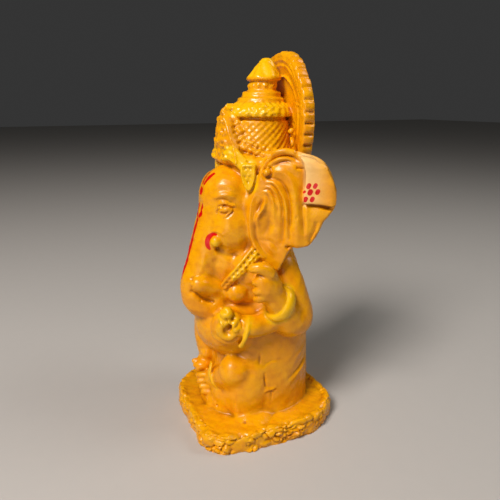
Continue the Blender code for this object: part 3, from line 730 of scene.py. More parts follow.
def formStatue():
    mass = bmesh.new()
    addBody(mass)
    addHead(mass)
    addTrunk(mass)
    addLegs(mass)
    addLeftForearm(mass)
    addRightForearm(mass)
    for side in (1, -1):
        addRaisedArm(mass, side)
    mesh = joined(mass, "masses", statue["softGrain"], statue["softRounds"])
    print("masses melted together:", len(mesh.vertices), "points")
    form = bmesh.new()
    form.from_mesh(mesh)
    addBase(form)
    for side in (1, -1):
        addFace(form, side)
        addEar(form, side)
        addFist(form, side)
        addCord(form, side)
    addLeftHand(form)
    addRightHand(form)
    addFeet(form)
    addCrown(form)
    addHalo(form)
    mesh = joined(form, "skin", statue["fineGrain"], statue["fineRounds"])
    print("fine skin:", len(mesh.vertices), "points")
    return mesh


# Working the skin with a tool: lines are thrown on to it and pressed in or raised

def readSpots(mesh):
    # the points of a mesh as rows of x, y, z in metres
    spots = np.empty(len(mesh.vertices) * 3, np.float32)
    mesh.vertices.foreach_get("co", spots)
    return spots.reshape(-1, 3)


class Skin:
    def __init__(self, mesh):
        self.mesh = mesh
        spots = readSpots(mesh).astype(float)
        spots[:, 2] -= cadLow.z
        self.spots = spots / unit
        facing = np.empty(len(spots) * 3, np.float32)
        mesh.vertex_normals.foreach_get("vector", facing)
        self.facing = facing.reshape(-1, 3).astype(float)
        self.push = np.zeros(len(spots))
        holder = added("holder", mesh)
        bpy.context.view_layer.update()
        self.tree = BVHTree.FromObject(holder, bpy.context.evaluated_depsgraph_get())
        bpy.data.objects.remove(holder)

    def thrown(self, start, along):
        # where a line from the start first meets the skin
        hit = self.tree.ray_cast(place(*start), Vector(along).normalized())[0]
        if hit is None:
            return np.array(start, float)
        return np.array((hit.x / unit, hit.y / unit, (hit.z - cadLow.z) / unit))

    def fromSide(self, points, side, count=24):
        # (y, z) pairs seen from the side
        return [self.thrown((side * 45.0, y, z), (-side, 0, 0)) for y, z in curved(points, count)]

    def fromFront(self, points, count=24):
        # (x, z) pairs seen from the front
        return [self.thrown((x, -45.0, z), (0, 1, 0)) for x, z in curved(points, count)]

    def onPlate(self, points, at, count=28):
        # (s, t) pairs, thrown square on to the plate that at(s, t, n) describes
        found = []
        for s, t in curved(points, count):
            start = Vector(at(s, t, 9.0))
            found.append(self.thrown(tuple(start), Vector(at(s, t, 0.0)) - start))
        return found

    def near(self, line, reach):
        # points of the skin near a line, with their distance to it and place along it
        line = np.array(line, float).reshape(-1, 3)
        low, high = line.min(axis=0) - reach, line.max(axis=0) + reach
        inside = np.nonzero(((self.spots > low) & (self.spots < high)).all(axis=1))[0]
        return (inside, *lineDistance(self.spots[inside], line))

    def work(self, line, rise, halfWidth):
        # raises or sinks the skin along a line; rise and halfWidth may change along it
        inside, distance, share = self.near(line, 3.0 * np.max(halfWidth))
        rise, halfWidth = alongLine(rise, share), alongLine(halfWidth, share)
        self.push[inside] += rise * np.exp(-(distance / halfWidth) ** 2)

    def finish(self):
        moved = self.spots + self.facing * self.push[:, None]
        moved *= unit
        moved[:, 2] += cadLow.z
        self.mesh.vertices.foreach_set("co", moved.astype(np.float32).ravel())


def alongLine(values, share):
    values = np.atleast_1d(np.array(values, float))
    return np.interp(share, np.linspace(0, 1, len(values)), values)


def lineDistance(spots, line):
    # distance of each spot to a broken line, and how far along it the nearest place is
    best = np.full(len(spots), 1e9)
    along = np.zeros(len(spots))
    for k, (a, b) in enumerate(zip(line, line[1:])):
        run = b - a
        share = np.clip(((spots - a) @ run) / max(run @ run, 1e-9), 0, 1)
        distance = np.linalg.norm(spots - a - share[:, None] * run, axis=1)
        along = np.where(distance < best, (k + share) / (len(line) - 1), along)
        best = np.minimum(best, distance)
    return best, along


def between(values, low, softLow, high, softHigh):
    # 1 from low to high, fading out over a soft edge at both ends
    return np.clip((values - low) / softLow, 0, 1) * np.clip((high - values) / softHigh, 0, 1)


# lines on the face as (y, z) pairs from the side: rise (below 0 is a groove), half width
faceStrokes = (
    (((-18.3, 96.9), (-17.2, 97.5), (-16.1, 97.6), (-14.8, 97.1), (-13.4, 96.3), (-12.3, 96.1)),
     (-0.3, -0.5, -0.6, -0.5, -0.4, -0.1), 0.45),
    (((-18.0, 94.8), (-17.2, 95.7), (-15.9, 96.2), (-14.7, 95.9), (-13.4, 95.3), (-12.0, 95.0)),
     (0.2, 0.5, 0.6, 0.6, 0.6, 0.2), 0.4),
    (((-17.9, 92.3), (-17.5, 93.8), (-16.7, 94.8), (-15.6, 95.2), (-14.5, 94.9), (-13.3, 94.5),
     (-12.2, 94.4)), (-0.3, -0.6, -0.7, -0.7, -0.7, -0.6, -0.2), 0.34),
    (((-14.7, 93.8), (-15.8, 92.6), (-16.7, 92.4)), (-0.2, -0.4, -0.2), 0.28),
    (((-13.3, 94.0), (-14.4, 92.7), (-15.5, 91.6), (-16.6, 91.3), (-17.6, 91.9)), (0.3, 0.6, 0.6,
     0.3, 0.1), 0.4),
    (((-13.4, 92.9), (-14.5, 91.9), (-15.6, 90.9)), (-0.3, -0.4, -0.2), 0.4),
    (((-19.4, 99.2), (-17.9, 100.5), (-15.3, 100.9), (-12.6, 99.8)), (-0.2, -0.5, -0.5, -0.1), 0.9),
    (((-18.6, 98.2), (-16.6, 99.1), (-14.2, 99.1), (-11.8, 98.0)), (0.2, 0.45, 0.45, 0.1), 0.7),
    (((-17.4, 77.6), (-15.1, 76.2), (-12.6, 75.6), (-10.6, 76.1), (-8.8, 77.9), (-8.0, 80.6)),
     (-0.2, -0.5, -0.6, -0.6, -0.5, -0.2), 1.0),
    (((-19.6, 85.3), (-18.2, 85.6), (-17.0, 84.6)), 0.4, 0.5),
    (((-22.9, 76.4), (-23.4, 72.4), (-24.6, 69.6)), (0.1, 0.5, 0.3), 1.3),
)
trunkStrokes = (
    (((-28.6, 61.6), (-27.0, 60.8), (-24.4, 58.9), (-21.7, 57.4), (-19.6, 57.0)), (-0.8, -1.4, -1.5,
     -1.3, -0.7), 0.65),
    (((-28.4, 62.0), (-28.6, 64.6), (-27.6, 67.6), (-24.0, 68.6)), (-0.6, -0.6, -0.5, -0.1), 0.5),
)
# small blow holes left by the casting
blowHoles = {
    # y, z and radius on the left side; x, y and radius on top of the base
    "left": ((-17.9, 78.0, 0.75), (-25.1, 57.8, 0.4), (0.4, 69.8, 0.9), (-19.8, 9.6, 0.5)),
    "base": (20.4, -12.6, 0.6),
    "depth": 1.6, "baseDepth": 1.8,    # times the radius
}
clothStrokes = (
    (((-3.9, 34.6), (-4.0, 32.4), (-4.4, 30.4)), (-0.3, -0.7, -0.3), 0.45),
    (((-2.8, 29.4), (-0.4, 30.8), (2.0, 31.2), (4.8, 30.8)), (-0.2, -0.4, -0.4, -0.1), 0.4),
    (((-2.6, 26.4), (-2.5, 24.0), (-2.1, 20.2)), (-0.2, -0.8, -0.7), 0.4),
    (((-3.0, 17.4), (-1.0, 18.5), (0.6, 18.4), (2.4, 19.3)), (0.1, 0.6, 0.6, 0.1), 0.5),
    (((-2.4, 16.6), (-0.6, 17.3), (1.2, 17.3), (2.8, 17.9)), (-0.1, -0.5, -0.5, -0.1), 0.4),
    (((0.3, 17.6), (0.5, 15.2), (0.4, 12.4)), (-0.5, -0.5, -0.1), 0.4),
    (((20.6, 25.4), (17.0, 23.4), (13.0, 21.4), (8.4, 19.4)), (0.3, 0.6, 0.6, 0.1), 0.7),
    (((20.6, 27.0), (16.6, 24.9), (12.6, 22.9), (8.8, 21.4)), (-0.2, -0.5, -0.5, -0.1), 0.6),
    (((20.4, 33.6), (18.6, 32.4), (15.2, 30.8), (11.6, 29.2)), (0.2, 0.5, 0.4, 0.1), 0.8),
)
# across the rings of the left hand, as (y, z) pairs from the side
handStrokes = (
    (((-9.4, 71.4), (-7.8, 71.0), (-6.2, 70.2)), (-0.9, -0.9, -0.2), 0.6),
    (((-19.4, 54.4), (-18.9, 52.6)), (-0.6, -0.5), 0.35),
    (((-13.4, 52.8), (-13.6, 50.2)), (-0.6, -0.6), 0.35),
    (((-20.9, 53.0), (-20.0, 51.6)), (-0.6, -0.5), 0.35),
    (((-18.4, 51.0), (-18.2, 49.4)), (-2.2, -2.2), 0.9),
)


def workStrokes(skinWork, strokes, side, count=24):
    for points, rise, halfWidth in strokes:
        skinWork.work(skinWork.fromSide(points, side, count), rise, halfWidth)


def workEar(skinWork, side):
    plate = partial(earPoint, side)
    for points, rise, halfWidth in earStrokes:
        rise = earSize["strokes"] * np.array(rise)
        skinWork.work(skinWork.onPlate(points, plate), rise, halfWidth)
    (s, t), reach = earSize["knob"], earSize["knobRing"]
    ring = [(s + reach * math.cos(k), t + reach * math.sin(k)) for k in np.linspace(0, 6.28, 13)]
    skinWork.work(skinWork.onPlate(ring, plate), -earSize["ringDepth"], earSize["ringWidth"])


def workHoles(skinWork):
    for y, z, radius in blowHoles["left"]:
        spot = skinWork.fromSide([(y, z), (y, z - 0.1)], 1, 2)
        skinWork.work(spot, -blowHoles["depth"] * radius, radius)
    x, y, radius = blowHoles["base"]
    spot = skinWork.thrown((x, y, 38.0), (0, 0, -1))
    skinWork.work([spot, spot + 0.1], -blowHoles["baseDepth"] * radius, radius)


def workCrown(skinWork):
    # slanting ropes of beads climb round the drum
    x, y, z = skinWork.spots.T
    y = y - crownSize["middle"]
    around, reach = np.arctan2(x, -y), np.hypot(x, y)
    drum = between(z, *crownSize["drum"]) * (reach < 14.8) * (reach > 9) * (y < 10.5)
    turn, climb = crownSize["ropes"] * abs(around), 2 * math.pi * z / crownSize["ropePitch"]
    lattice = 0.75 * np.cos(turn - climb) + 0.5 * np.cos(turn + climb)
    skinWork.push += drum * crownSize["ropeDepth"] * lattice
    # leaves lie on the roof, its lower edge is wavy
    roof = between(z, *crownSize["roof"]) * (reach > 7.5) * (y < 9.5)
    leaves = np.sin(around * crownSize["scallops"] + 1.3 * np.sin(z * 2.4 + around * 4))
    skinWork.push += crownSize["leafDepth"] * roof * (leaves + 0.5 * np.sin(around * 17 - z * 3.1))
    edge = np.exp(-((z - crownSize["scallopsAt"]) / 0.7) ** 2) * (reach > 10.8) * (y < 9.5)
    scallops = np.cos(around * crownSize["scallops"] + 0.8 * np.sin(around * 5))
    skinWork.push += crownSize["scallopDepth"] * edge * scallops
    neck = np.exp(-((z - crownSize["beadsAt"]) / 0.7) ** 2) * (reach < 6.6)
    skinWork.push += crownSize["beadDepth"] * neck * np.cos(around * crownSize["beads"])
    # the finial is cut with broad facets
    finial = between(z, *crownSize["finial"]) * (reach < 7.5)
    skinWork.push += crownSize["facetDepth"] * finial * (abs(np.cos(around * 3 + 0.4)) - 0.8)


def plaqueLines():
    # mirrored scrolls climbing the plaque, with a stem of beads between them
    lines = []
    for side in (1, -1):
        for t, size in plaqueSize["scrolls"]:
            middle, scroll = size * 1.45, []
            for k in range(12):
                turn = math.radians(-60 + 33 * k)
                reach = size * (1.0 - 0.055 * k)
                s = middle + reach * math.cos(turn)
                scroll.append((side * s, t + reach * math.sin(turn)))
            lines.append((scroll, 0.6, 0.42))
            lines.append(([(side * middle, t), (side * middle, t - 0.1)], -0.6, 0.5))
        edge = [(side * (s - 0.9), t - 0.2) for s, t in plaque[1:7]]
        lines.append((edge, 0.55, 0.45))
        for s, t in plaque[1:6]:
            lines.append(([(side * (s - 2.1), t - 1.4), (side * (s - 2.1), t - 1.5)], -0.5, 0.45))
    for t in plaqueSize["stem"]:
        lines.append(([(0, t), (0, t - 0.1)], 0.55, 0.8))
    return lines


def workPlaque(skinWork):
    for points, rise, halfWidth in plaqueLines():
        skinWork.work(skinWork.onPlate(points, plaquePoint, 26), rise, halfWidth)


def workTongue(skinWork, side):
    # a beaded border and small pits on the flap over the temple
    plate = partial(tonguePoint, side)
    border = [(0.8 * s, 0.86 * t - 0.5) for s, t in tongue]
    skinWork.work(skinWork.onPlate(border + border[:1], plate, 40), 0.4, 0.4)
    for s, t in tonguePits:
        skinWork.work(skinWork.onPlate([(s, t), (s, t - 0.2)], plate, 2), -0.5, 0.5)


def workCord(skinWork, side):
    # the braid: two rows of pits along it, pressed in square to it
    spots = curved(mirrored(cordRoute, side), 2 * cordSize["stitches"])
    flat = Vector(mirrored([cordSize["flat"]], side)[0])
    for k in range(2, len(spots) - 1):
        share = k / (len(spots) - 1)
        ahead = Vector(spots[k + 1] - spots[k - 1]).normalized()
        across = (flat - ahead * ahead.dot(flat)).normalized()
        out = ahead.cross(across)
        out = out if out.x * side > 0 else -out
        reach = (cordSize["pitReach"] - 0.2 * share) * cordSize["wide"] * (1 if k % 2 else -1)
        start = Vector(spots[k]) + across * reach + out * 3.0
        pit = skinWork.thrown(tuple(start), -out)
        depth = -cordSize["pitDepth"] * (1 - 0.5 * share)
        skinWork.work([pit, pit + 0.1], depth, cordSize["pitWidth"])


def workHalo(skinWork):
    # ribs round the edge, with narrow grooves between them
    x, y, z = skinWork.spots.T
    over, up = x / haloSize["halfWidth"], (z - haloSize["middle"]) / haloSize["up"]
    turn, reach = np.arctan2(up, over), np.hypot(up, over)
    edge = np.clip((reach - haloSize["ribsFrom"]) / haloSize["ribsOver"], 0, 1)
    edge = edge * (z > 109) * (y > 6.0)
    wander = 0.3 * np.sin(turn * 5 + 1.0) + 0.25 * np.sin(turn * 9)
    groove = (0.5 + 0.5 * np.cos(turn * haloSize["ribs"] + wander)) ** 4
    lower = 0.5 + 0.5 * np.clip((140 - z) / 20, 0, 1)          # the ribs are deeper lower down
    skinWork.push -= edge * lower * haloSize["ribDepth"] * (groove - 0.12)


def workBase(skinWork):
    # broken ridges with small chips and pits
    x, y, z = skinWork.spots.T
    rocky = np.clip((baseReach(x, y) - stoneEdge["from"]) / stoneEdge["over"], 0, 1)
    rocky = rocky * (z < baseSize["height"] + stoneEdge["above"])
    squeeze, crack = stoneEdge["squeeze"], stoneEdge["crackWidth"]
    noise.seed_set(stoneEdge["seed"])
    for k in np.nonzero(rocky > 0)[0]:
        spot = Vector(skinWork.spots[k])
        flat = Vector((spot.x * squeeze, spot.y * squeeze, spot.z))
        warped = flat + stoneEdge["warp"] * noise.noise_vector(flat / stoneEdge["warpSize"])
        chips = noise.voronoi(warped / stoneEdge["chipSize"])[0]
        cracks = min(chips[1] - chips[0], crack) / crack - 0.8
        # some of the cracks close again, so that the lumps differ in size
        closing = noise.noise(flat / stoneEdge["closedSize"] + Vector((5.0, 2.0, 9.0)))
        cracks = stoneEdge["cracks"] * min(max(0.55 + 1.6 * closing, 0.0), 1.0) * cracks
        ridges = noise.ridged_multi_fractal(flat / stoneEdge["ridgeSize"], 0.9, 2.1, 3, 0.9, 1.8)
        swell = noise.noise(spot / stoneEdge["swellSize"] + Vector((3.0, 1.0, 7.0)))
        relief = (cracks + stoneEdge["ridges"] * (ridges - 1.0) + stoneEdge["swells"] * swell
                  + stoneEdge["lift"])
        # the right front corner is the roughest
        corner = min(max((x[k] - 0.6 * y[k]) / 30, 0.0), 1.0)
        strength = stoneEdge["least"] + (1.0 - stoneEdge["least"]) * corner
        skinWork.push[k] += rocky[k] * strength * stoneEdge["depth"] * relief


def workGrain(skinWork):
    # the cast is a little uneven all over, as hand-finished plaster is
    x, y, z = skinWork.spots.T
    wave = (np.sin(0.9 * x + 0.5 * z + 1.3) * np.sin(0.8 * y - 0.6 * z)
            + 0.6 * np.sin(1.9 * x - 1.1 * y + 0.7) * np.sin(1.7 * z + 0.9 * y))
    skinWork.push += statue["unevenness"] * wave


def cutFlat(mesh):
    # one flat face at floor level
    form = bmesh.new()
    form.from_mesh(mesh)
    parts = form.verts[:] + form.edges[:] + form.faces[:]
    bmesh.ops.bisect_plane(form, geom=parts, dist=1e-7, plane_co=(0, 0, cadLow.z),
                           plane_no=(0, 0, 1), clear_inner=True)
    rim = [e for e in form.edges if e.is_boundary]
    bmesh.ops.holes_fill(form, edges=rim)
    bmesh.ops.triangulate(form, faces=form.faces)
    form.to_mesh(mesh)
    form.free()


def withinFrame(mesh):
    # no point stands outside the frame's box
    low, high = np.array(cadLow, np.float32), np.array(cadHigh, np.float32)
    mesh.vertices.foreach_set("co", np.clip(readSpots(mesh), low, high).ravel())


def formSkin():
    mesh = formStatue()
    skinWork = Skin(mesh)
    for side in (1, -1):
        workStrokes(skinWork, faceStrokes + trunkStrokes, side)
        workEar(skinWork, side)
        workTongue(skinWork, side)
        workCord(skinWork, side)
    workPlaque(skinWork)
    for side in (1, -1):
        workStrokes(skinWork, clothStrokes, side)
    workStrokes(skinWork, handStrokes, 1, 8)
    for work in (workHoles, workCrown, workHalo, workBase, workGrain):
        work(skinWork)
    skinWork.finish()
    print("relief worked into the skin")
    made = added("fewer", mesh)
    fewer = made.modifiers.new("Fewer faces", "DECIMATE")
    fewer.ratio = statue["triangles"] / sum(len(p.vertices) - 2 for p in mesh.polygons)
    mesh = baked(made)
    cutFlat(mesh)
    withinFrame(mesh)
    print("cut and trimmed:", len(mesh.polygons), "triangles")
    return mesh


# Paint that is only colour, kept as numbers on the points of the skin

redPlan = {
    # (x, z) from the front, radius along the mark; on both sides of the middle
    "front": ((((2.3, 105.9), (1.9, 104.8), (1.4, 103.6), (0.95, 102.4)), (0.7, 0.95, 1.0, 0.7)),
              (((0.7, 100.7), (0.5, 99.6), (0.4, 98.5)), (0.45, 0.75, 0.5)),
              (((1.5, 94.6), (1.7, 93.6), (1.4, 92.4), (1.7, 91.2), (0.9, 90.0)),
               (0.4, 0.7, 0.5, 1.1, 0.7))),
    "stripe": (((-0.1, 88.6), (-0.2, 80.0), (0.0, 72.0), (0.3, 66.0)), (0.8, 1.1, 1.2, 0.6)),
    # (y, z) from the side
    "crescent": (((-18.9, 84.3), (-19.8, 84.0), (-20.9, 82.9), (-21.6, 81.2), (-21.5, 79.6),
                  (-20.9, 78.4)), (0.5, 0.8, 0.95, 0.95, 0.85, 0.45)),
    # dabs on the folded corner of the ear: s, t, radius
    "dots": ((19.5, 103.4, 0.78), (21.8, 103.5, 0.72), (18.0, 101.1, 0.5), (20.1, 101.2, 0.88),
             (22.7, 101.4, 0.78), (18.5, 98.6, 0.78), (20.9, 98.7, 0.76)),
    "reach": 2.0,              # mm round a mark that are measured
    "edgeReach": 0.7, "edgeStep": 0.34, "rounds": 3,   # mm, how finely a red edge is split
}


def redMarks(skinWork):
    # every red brush mark as (points, radius along it)
    marks = []
    for side in (1, -1):
        for points, radius in redPlan["front"]:
            marks.append((skinWork.fromFront([(side * x, z) for x, z in points]), radius))
        points, radius = redPlan["crescent"]
        marks.append((skinWork.fromSide(points, side), radius))
        for s, t, size in redPlan["dots"]:
            dab = [(s - 0.15, t - 0.3), (s + 0.15, t + 0.3)]
            marks.append((skinWork.onPlate(dab, partial(earPoint, side), 2), size))
    points, radius = redPlan["stripe"]
    marks.append((skinWork.fromFront(points, 40), radius))
    return marks


def paintField(skinWork, marks, reach):
    # how far inside the nearest brush mark each point lies, in mm
    field = np.full(len(skinWork.spots), -reach)
    for line, radius in marks:
        inside, distance, share = skinWork.near(line, np.max(radius) + reach)
        field[inside] = np.maximum(field[inside], alongLine(radius, share) - distance)
    return field


def finerAtPaint(mesh):
    # splits long edges of the skin where a red edge has to be crisp
    for turn in range(redPlan["rounds"]):
        skinWork = Skin(mesh)
        field = paintField(skinWork, redMarks(skinWork), redPlan["reach"])
        form = bmesh.new()
        form.from_mesh(mesh)
        longest = redPlan["edgeStep"] * unit
        split = []
        for edge in form.edges:
            first, second = (field[v.index] for v in edge.verts)
            crosses = min(abs(first), abs(second)) < redPlan["edgeReach"] or first * second < 0
            measured = max(first, second) > 0.1 - redPlan["reach"]
            if crosses and measured and edge.calc_length() > longest:
                split.append(edge)
        bmesh.ops.subdivide_edges(form, edges=split, cuts=1, use_grid_fill=True)
        bmesh.ops.triangulate(form, faces=form.faces)
        form.to_mesh(mesh)
        form.free()
    print("skin made finer at the red edges:", len(mesh.polygons), "triangles")


def hollowness(skinWork):
    # how far each point lies below its surroundings: recesses are above 0, and the enamel paints
    # shade into them
    mesh = skinWork.mesh
    edges = np.empty(len(mesh.edges) * 2, np.int64)
    mesh.edges.foreach_get("vertices", edges)
    a, b = edges.reshape(-1, 2).T
    count = len(skinWork.spots)
    near = np.maximum(np.bincount(a, minlength=count) + np.bincount(b, minlength=count), 1)

    def spread(values):
        total = np.bincount(a, weights=values[b], minlength=count)
        return (total + np.bincount(b, weights=values[a], minlength=count)) / near

    around = skinWork.spots.T
    for turn in range(5):
        around = np.stack([spread(row) for row in around])
    hollow = ((around.T - skinWork.spots) * skinWork.facing).sum(axis=1)
    for turn in range(2):
        hollow = 0.5 * hollow + 0.5 * spread(hollow)
    return hollow


goldPlan = {
    "reach": 1.5, "soft": 0.8,                 # mm
    "roof": (126.3, 0.4, 131.8, 0.6),          # heights in mm: from, soft edge, to, soft edge
    # share of gold, height it starts at, soft edge, reach from the axis
    "finial": (1.0, 140.2, 0.5, 7.4), "drum": (0.2, 110.5, 1.5, 16.5),
    "rim": (0.25, 0.89, 0.04),                 # share of gold, share of the base's reach, soft edge
}
creamPlan = {
    "from": 17.7, "above": 96.6, "soft": 0.9,  # mm on the ear's plate
    "curve": 0.045, "curveFrom": 107,          # its inner edge bends back towards the top
    "fade": 8.5, "least": 0.08,                # thinner towards the ear's edge
}


def goldShare(skinWork):
    # 1 where the brush left golden yellow over the orange, 0 on plain orange
    field = paintField(skinWork, goldSpots, goldPlan["reach"])
    shares = [np.clip(0.5 + field / goldPlan["soft"], 0, 1)]
    x, y, z = skinWork.spots.T
    reach = np.hypot(x, y - crownSize["middle"])
    shares.append(between(z, *goldPlan["roof"]) * (reach < 13.6) * (y < 12))
    for gold, start, soft, widest in (goldPlan["finial"], goldPlan["drum"]):
        shares.append(gold * np.clip((z - start) / soft, 0, 1) * (reach < widest) * (y < 11))
    gold, start, soft = goldPlan["rim"]
    rim = gold * np.clip((baseReach(x, y) - start) / soft, 0, 1)
    shares.append(rim * (z > baseSize["height"] - 2.0) * (z < 12))
    return np.maximum.reduce(shares)


def creamShare(skinWork):
    # the folded corner of each ear is cream, up to its edge
    field = np.zeros(len(skinWork.spots))
    x, y, z = skinWork.spots.T
    start, soft = creamPlan["from"], creamPlan["soft"]
    for side in (1, -1):
        dx, dy = side * x - earSize["root"][0], y - earSize["root"][1]
        s, n = earSine * dx + earCosine * dy, earCosine * dx - earSine * dy
        left = s - start + creamPlan["curve"] * np.maximum(z - creamPlan["curveFrom"], 0) ** 2
        inside = np.clip(0.5 + np.minimum(left, z - creamPlan["above"]) / soft, 0, 1)
        inside = inside * np.clip((n + 1.2) / 0.8, 0, 1)       # only the front of the plate
        toEdge = np.clip(1.1 - (s - start) / creamPlan["fade"], creamPlan["least"], 1.0)
        field = np.maximum(field, inside * toEdge * (side * x > 13))
    return field


def storePaint(mesh):
    skinWork = Skin(mesh)
    red = paintField(skinWork, redMarks(skinWork), redPlan["reach"])
    # hollow holds the depth of each recess, which the enamel turns into painted shade
    for name, values in (("redMark", red), ("goldShare", goldShare(skinWork)),
                         ("creamShare", creamShare(skinWork)), ("hollow", hollowness(skinWork))):
        layer = mesh.attributes.new(name, "FLOAT", "POINT")
        layer.data.foreach_set("value", values.astype(np.float32))


# Colours and finish

perMetre = 1000.0              # turns the size of a pattern in mm into its scale


def linearColour(hexCode):
    # an sRGB hex value as linear red, green, blue
    channels = [int(hexCode[k:k + 2], 16) / 255 for k in (0, 2, 4)]
    linear = [c / 12.92 if c <= 0.04045 else ((c + 0.055) / 1.055) ** 2.4 for c in channels]
    return (*linear, 1.0)


def addNode(tree, kind, settings=None, values=None, links=None):
    # one node with its settings, its socket values and what feeds its sockets
    node = tree.nodes.new(kind)
    for name, value in (settings or {}).items():
        setattr(node, name, value)
    for name, value in (values or {}).items():
        node.inputs[name].default_value = value
    for name, source in (links or {}).items():
        tree.links.new(source, node.inputs[name])
    return node


# gloss enamel brushed over cast plaster: strong colour with a wet shine, thinner on the
# edges, with painted shade that darkens the hollows towards brown
enamel = {
    "ochre": "ea9a00", "ochreWarm": "efa600", "ochreDeep": "d47a00", "shade": "803a00",
    "gold": "f0b600", "cream": "f3c478", "red": "d00000",
    "patchSize": 11.0,         # mm, where the brush left more or less paint
    "streakSize": 2.2,         # mm, brush marks
    "glossSize": 4.4,          # mm, where the shine is softer
    "grainSize": 0.8,          # mm, drawn coarser than real dust in the paint so that it shows
    # the brush marks deepen the orange; the second share is how much painted shade darkens the
    # hollows
    "streakShare": 0.55, "paintedShadeShare": 0.62,
    "roughness": 0.27, "smoother": 0.05, "rougher": 0.08, "ior": 1.46,
    "bumpStrength": 0.2, "bumpDepth": 0.0002,
}


def enamelOnPlaster():
    made = bpy.data.materials.new("Gloss enamel brushed over cast plaster")
    made.use_nodes = True
    tree = made.node_tree
    shader = tree.nodes["Principled BSDF"]
    shader.inputs["IOR"].default_value = enamel["ior"]
    where = addNode(tree, "ShaderNodeTexCoord").outputs["Object"]
    sources = {}
    for name, size, detail in (("patches", "patchSize", 3.0), ("streaks", "streakSize", 4.0),
                               ("gloss", "glossSize", 3.0), ("grain", "grainSize", 2.0)):
        sources[name] = addNode(tree, "ShaderNodeTexNoise", links={"Vector": where}, values={
            "Scale": perMetre / enamel[size], "Detail": detail}).outputs["Fac"]
    for name in ("goldShare", "creamShare", "hollow", "redMark"):
        sources[name] = addNode(tree, "ShaderNodeAttribute",
                                settings={"attribute_name": name}).outputs["Fac"]
    # paint over the ochre: what lays it on, where it starts and is full, how much covers
    layers = (("patches", 0.38, 0.62, 1.0, "ochreWarm"),
              ("streaks", 0.45, 0.75, enamel["streakShare"], "ochreDeep"),
              ("goldShare", 0.0, 1.0, 1.0, "gold"), ("creamShare", 0.0, 1.0, 1.0, "cream"),
              # painted shade: the deeper a recess, the more brown is laid over the ochre
              ("hollow", 0.04, 0.34, enamel["paintedShadeShare"], "shade"),
              ("redMark", -0.07, 0.07, 1.0, "red"))
    below = None
    for source, low, high, most, colour in layers:
        factor = addNode(tree, "ShaderNodeMapRange", links={"Value": sources[source]}, values={
            "From Min": low, "From Max": high, "To Max": most}).outputs["Result"]
        mix = addNode(tree, "ShaderNodeMix", settings={"data_type": "RGBA"}, links={0: factor},
                      values={6: linearColour(enamel["ochre"]), 7: linearColour(enamel[colour])})
        if below is not None:
            tree.links.new(below, mix.inputs[6])
        below = mix.outputs[2]
    tree.links.new(below, shader.inputs["Base Color"])
    gloss = addNode(tree, "ShaderNodeMapRange", links={"Value": sources["gloss"]}, values={
        "From Min": 0.3, "From Max": 0.7, "To Min": enamel["roughness"] - enamel["smoother"],
        "To Max": enamel["roughness"] + enamel["rougher"]})
    tree.links.new(gloss.outputs["Result"], shader.inputs["Roughness"])
    grain = addNode(tree, "ShaderNodeMath", settings={"operation": "ADD"},
                    links={0: sources["grain"], 1: sources["streaks"]})
    bump = addNode(tree, "ShaderNodeBump", links={"Height": grain.outputs[0]}, values={
        "Strength": enamel["bumpStrength"], "Distance": enamel["bumpDepth"]})
    tree.links.new(bump.outputs["Normal"], shader.inputs["Normal"])
    return made


def makeStatue():
    mesh = formSkin()
    finerAtPaint(mesh)
    storePaint(mesh)
    mesh.materials.clear()
    mesh.materials.append(enamelOnPlaster())
    mesh.shade_smooth()
    mesh.set_sharp_from_angle(angle=math.radians(statue["crispFrom"]))
    piece = added("ganesha", mesh)
    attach(piece, statue["body"])
    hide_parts(statue["replaces"])
    print("statue painted and in place:", len(mesh.polygons), "triangles")
    return piece


# The setting: pale floor, soft lights, the photograph's point of view

studio = {
    "floorSize": 6.0, "floorColour": "bfbbb3", "floorFleck": "7c7c7c", "fleckShare": 0.05,
    "fleckSize": 6.25, "floorRoughness": 0.9,
    # name, place and size in metres, watts, colour
    "lamps": (("key", (0.26, -0.45, 0.63), 0.26, 6.5, (1.0, 0.94, 0.93)),
              ("fill", (0.46, -0.44, 0.13), 0.22, 0.3, (1.0, 1.0, 1.0)),
              ("back", (0.20, 0.44, 0.58), 0.24, 1.1, (1.0, 1.0, 1.0))),
    "sky": 0.035,
}
view = {
    "place": (0.17132, -0.0806, 0.13128),
    "ahead": (-0.8666, 0.4041, -0.2928),
    "focalPixels": 480.0, "framePixels": 500.0, "sensor": 36.0,
}


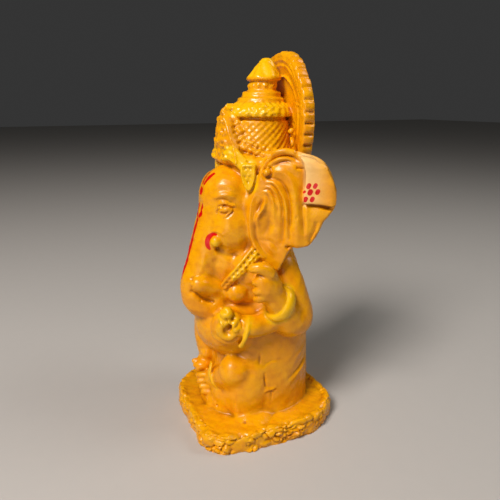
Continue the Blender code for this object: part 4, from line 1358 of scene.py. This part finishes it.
def addFloor():
    form = bmesh.new()
    bmesh.ops.create_grid(form, x_segments=8, y_segments=8, size=studio["floorSize"] / 2)
    mesh = bpy.data.meshes.new("floor")
    form.to_mesh(mesh)
    form.free()
    floor = added("floor", mesh)
    floor.location.z = cadLow.z
    # pressed paper, matt with faint flecks, drawn coarse enough to show
    paper = bpy.data.materials.new("Matt pressed paper backdrop")
    paper.use_nodes = True
    tree = paper.node_tree
    shader = tree.nodes["Principled BSDF"]
    shader.inputs["Roughness"].default_value = studio["floorRoughness"]
    where = addNode(tree, "ShaderNodeTexCoord").outputs["Object"]
    flecks = addNode(tree, "ShaderNodeTexNoise", links={"Vector": where}, values={
        "Scale": perMetre / studio["fleckSize"], "Detail": 3.0})
    tone = addNode(tree, "ShaderNodeMapRange", links={"Value": flecks.outputs["Fac"]},
                   values={"To Max": studio["fleckShare"]})
    below, above = linearColour(studio["floorColour"]), linearColour(studio["floorFleck"])
    mix = addNode(tree, "ShaderNodeMix", settings={"data_type": "RGBA"},
                  links={0: tone.outputs["Result"]}, values={6: below, 7: above})
    tree.links.new(mix.outputs[2], shader.inputs["Base Color"])
    mesh.materials.append(paper)


def addLights():
    for name, start, size, power, colour in studio["lamps"]:
        lamp = bpy.data.lights.new(name, "AREA")
        lamp.size = size
        lamp.energy = power
        lamp.color = colour
        holder = added(name, lamp)
        holder.location = start
        aim = Vector((0, 0, (cadLow.z + cadHigh.z) / 2)) - Vector(start)
        holder.rotation_euler = aim.to_track_quat("-Z", "Y").to_euler()
    world = bpy.data.worlds.new("pale studio")
    world.use_nodes = True
    bpy.context.scene.world = world
    sky = world.node_tree.nodes["Background"]
    sky.inputs["Color"].default_value = (1.0, 1.0, 1.0, 1.0)
    sky.inputs["Strength"].default_value = studio["sky"]


def addCamera():
    ahead = Vector(view["ahead"]).normalized()
    right = ahead.cross(Vector((0, 0, 1))).normalized()
    up = right.cross(ahead)
    camera = bpy.data.cameras.new("camera")
    camera.sensor_width = view["sensor"]
    camera.lens = view["sensor"] * view["focalPixels"] / view["framePixels"]
    camera.clip_start = 0.01
    holder = added("camera", camera)
    turn = Matrix((right, up, -ahead)).transposed().to_4x4()
    holder.matrix_world = Matrix.Translation(Vector(view["place"])) @ turn
    bpy.context.scene.camera = holder


addCamera()
addLights()
addFloor()
print("camera, lights and floor ready")
makeStatue()
bpy.context.scene.view_settings.view_transform = "Standard"
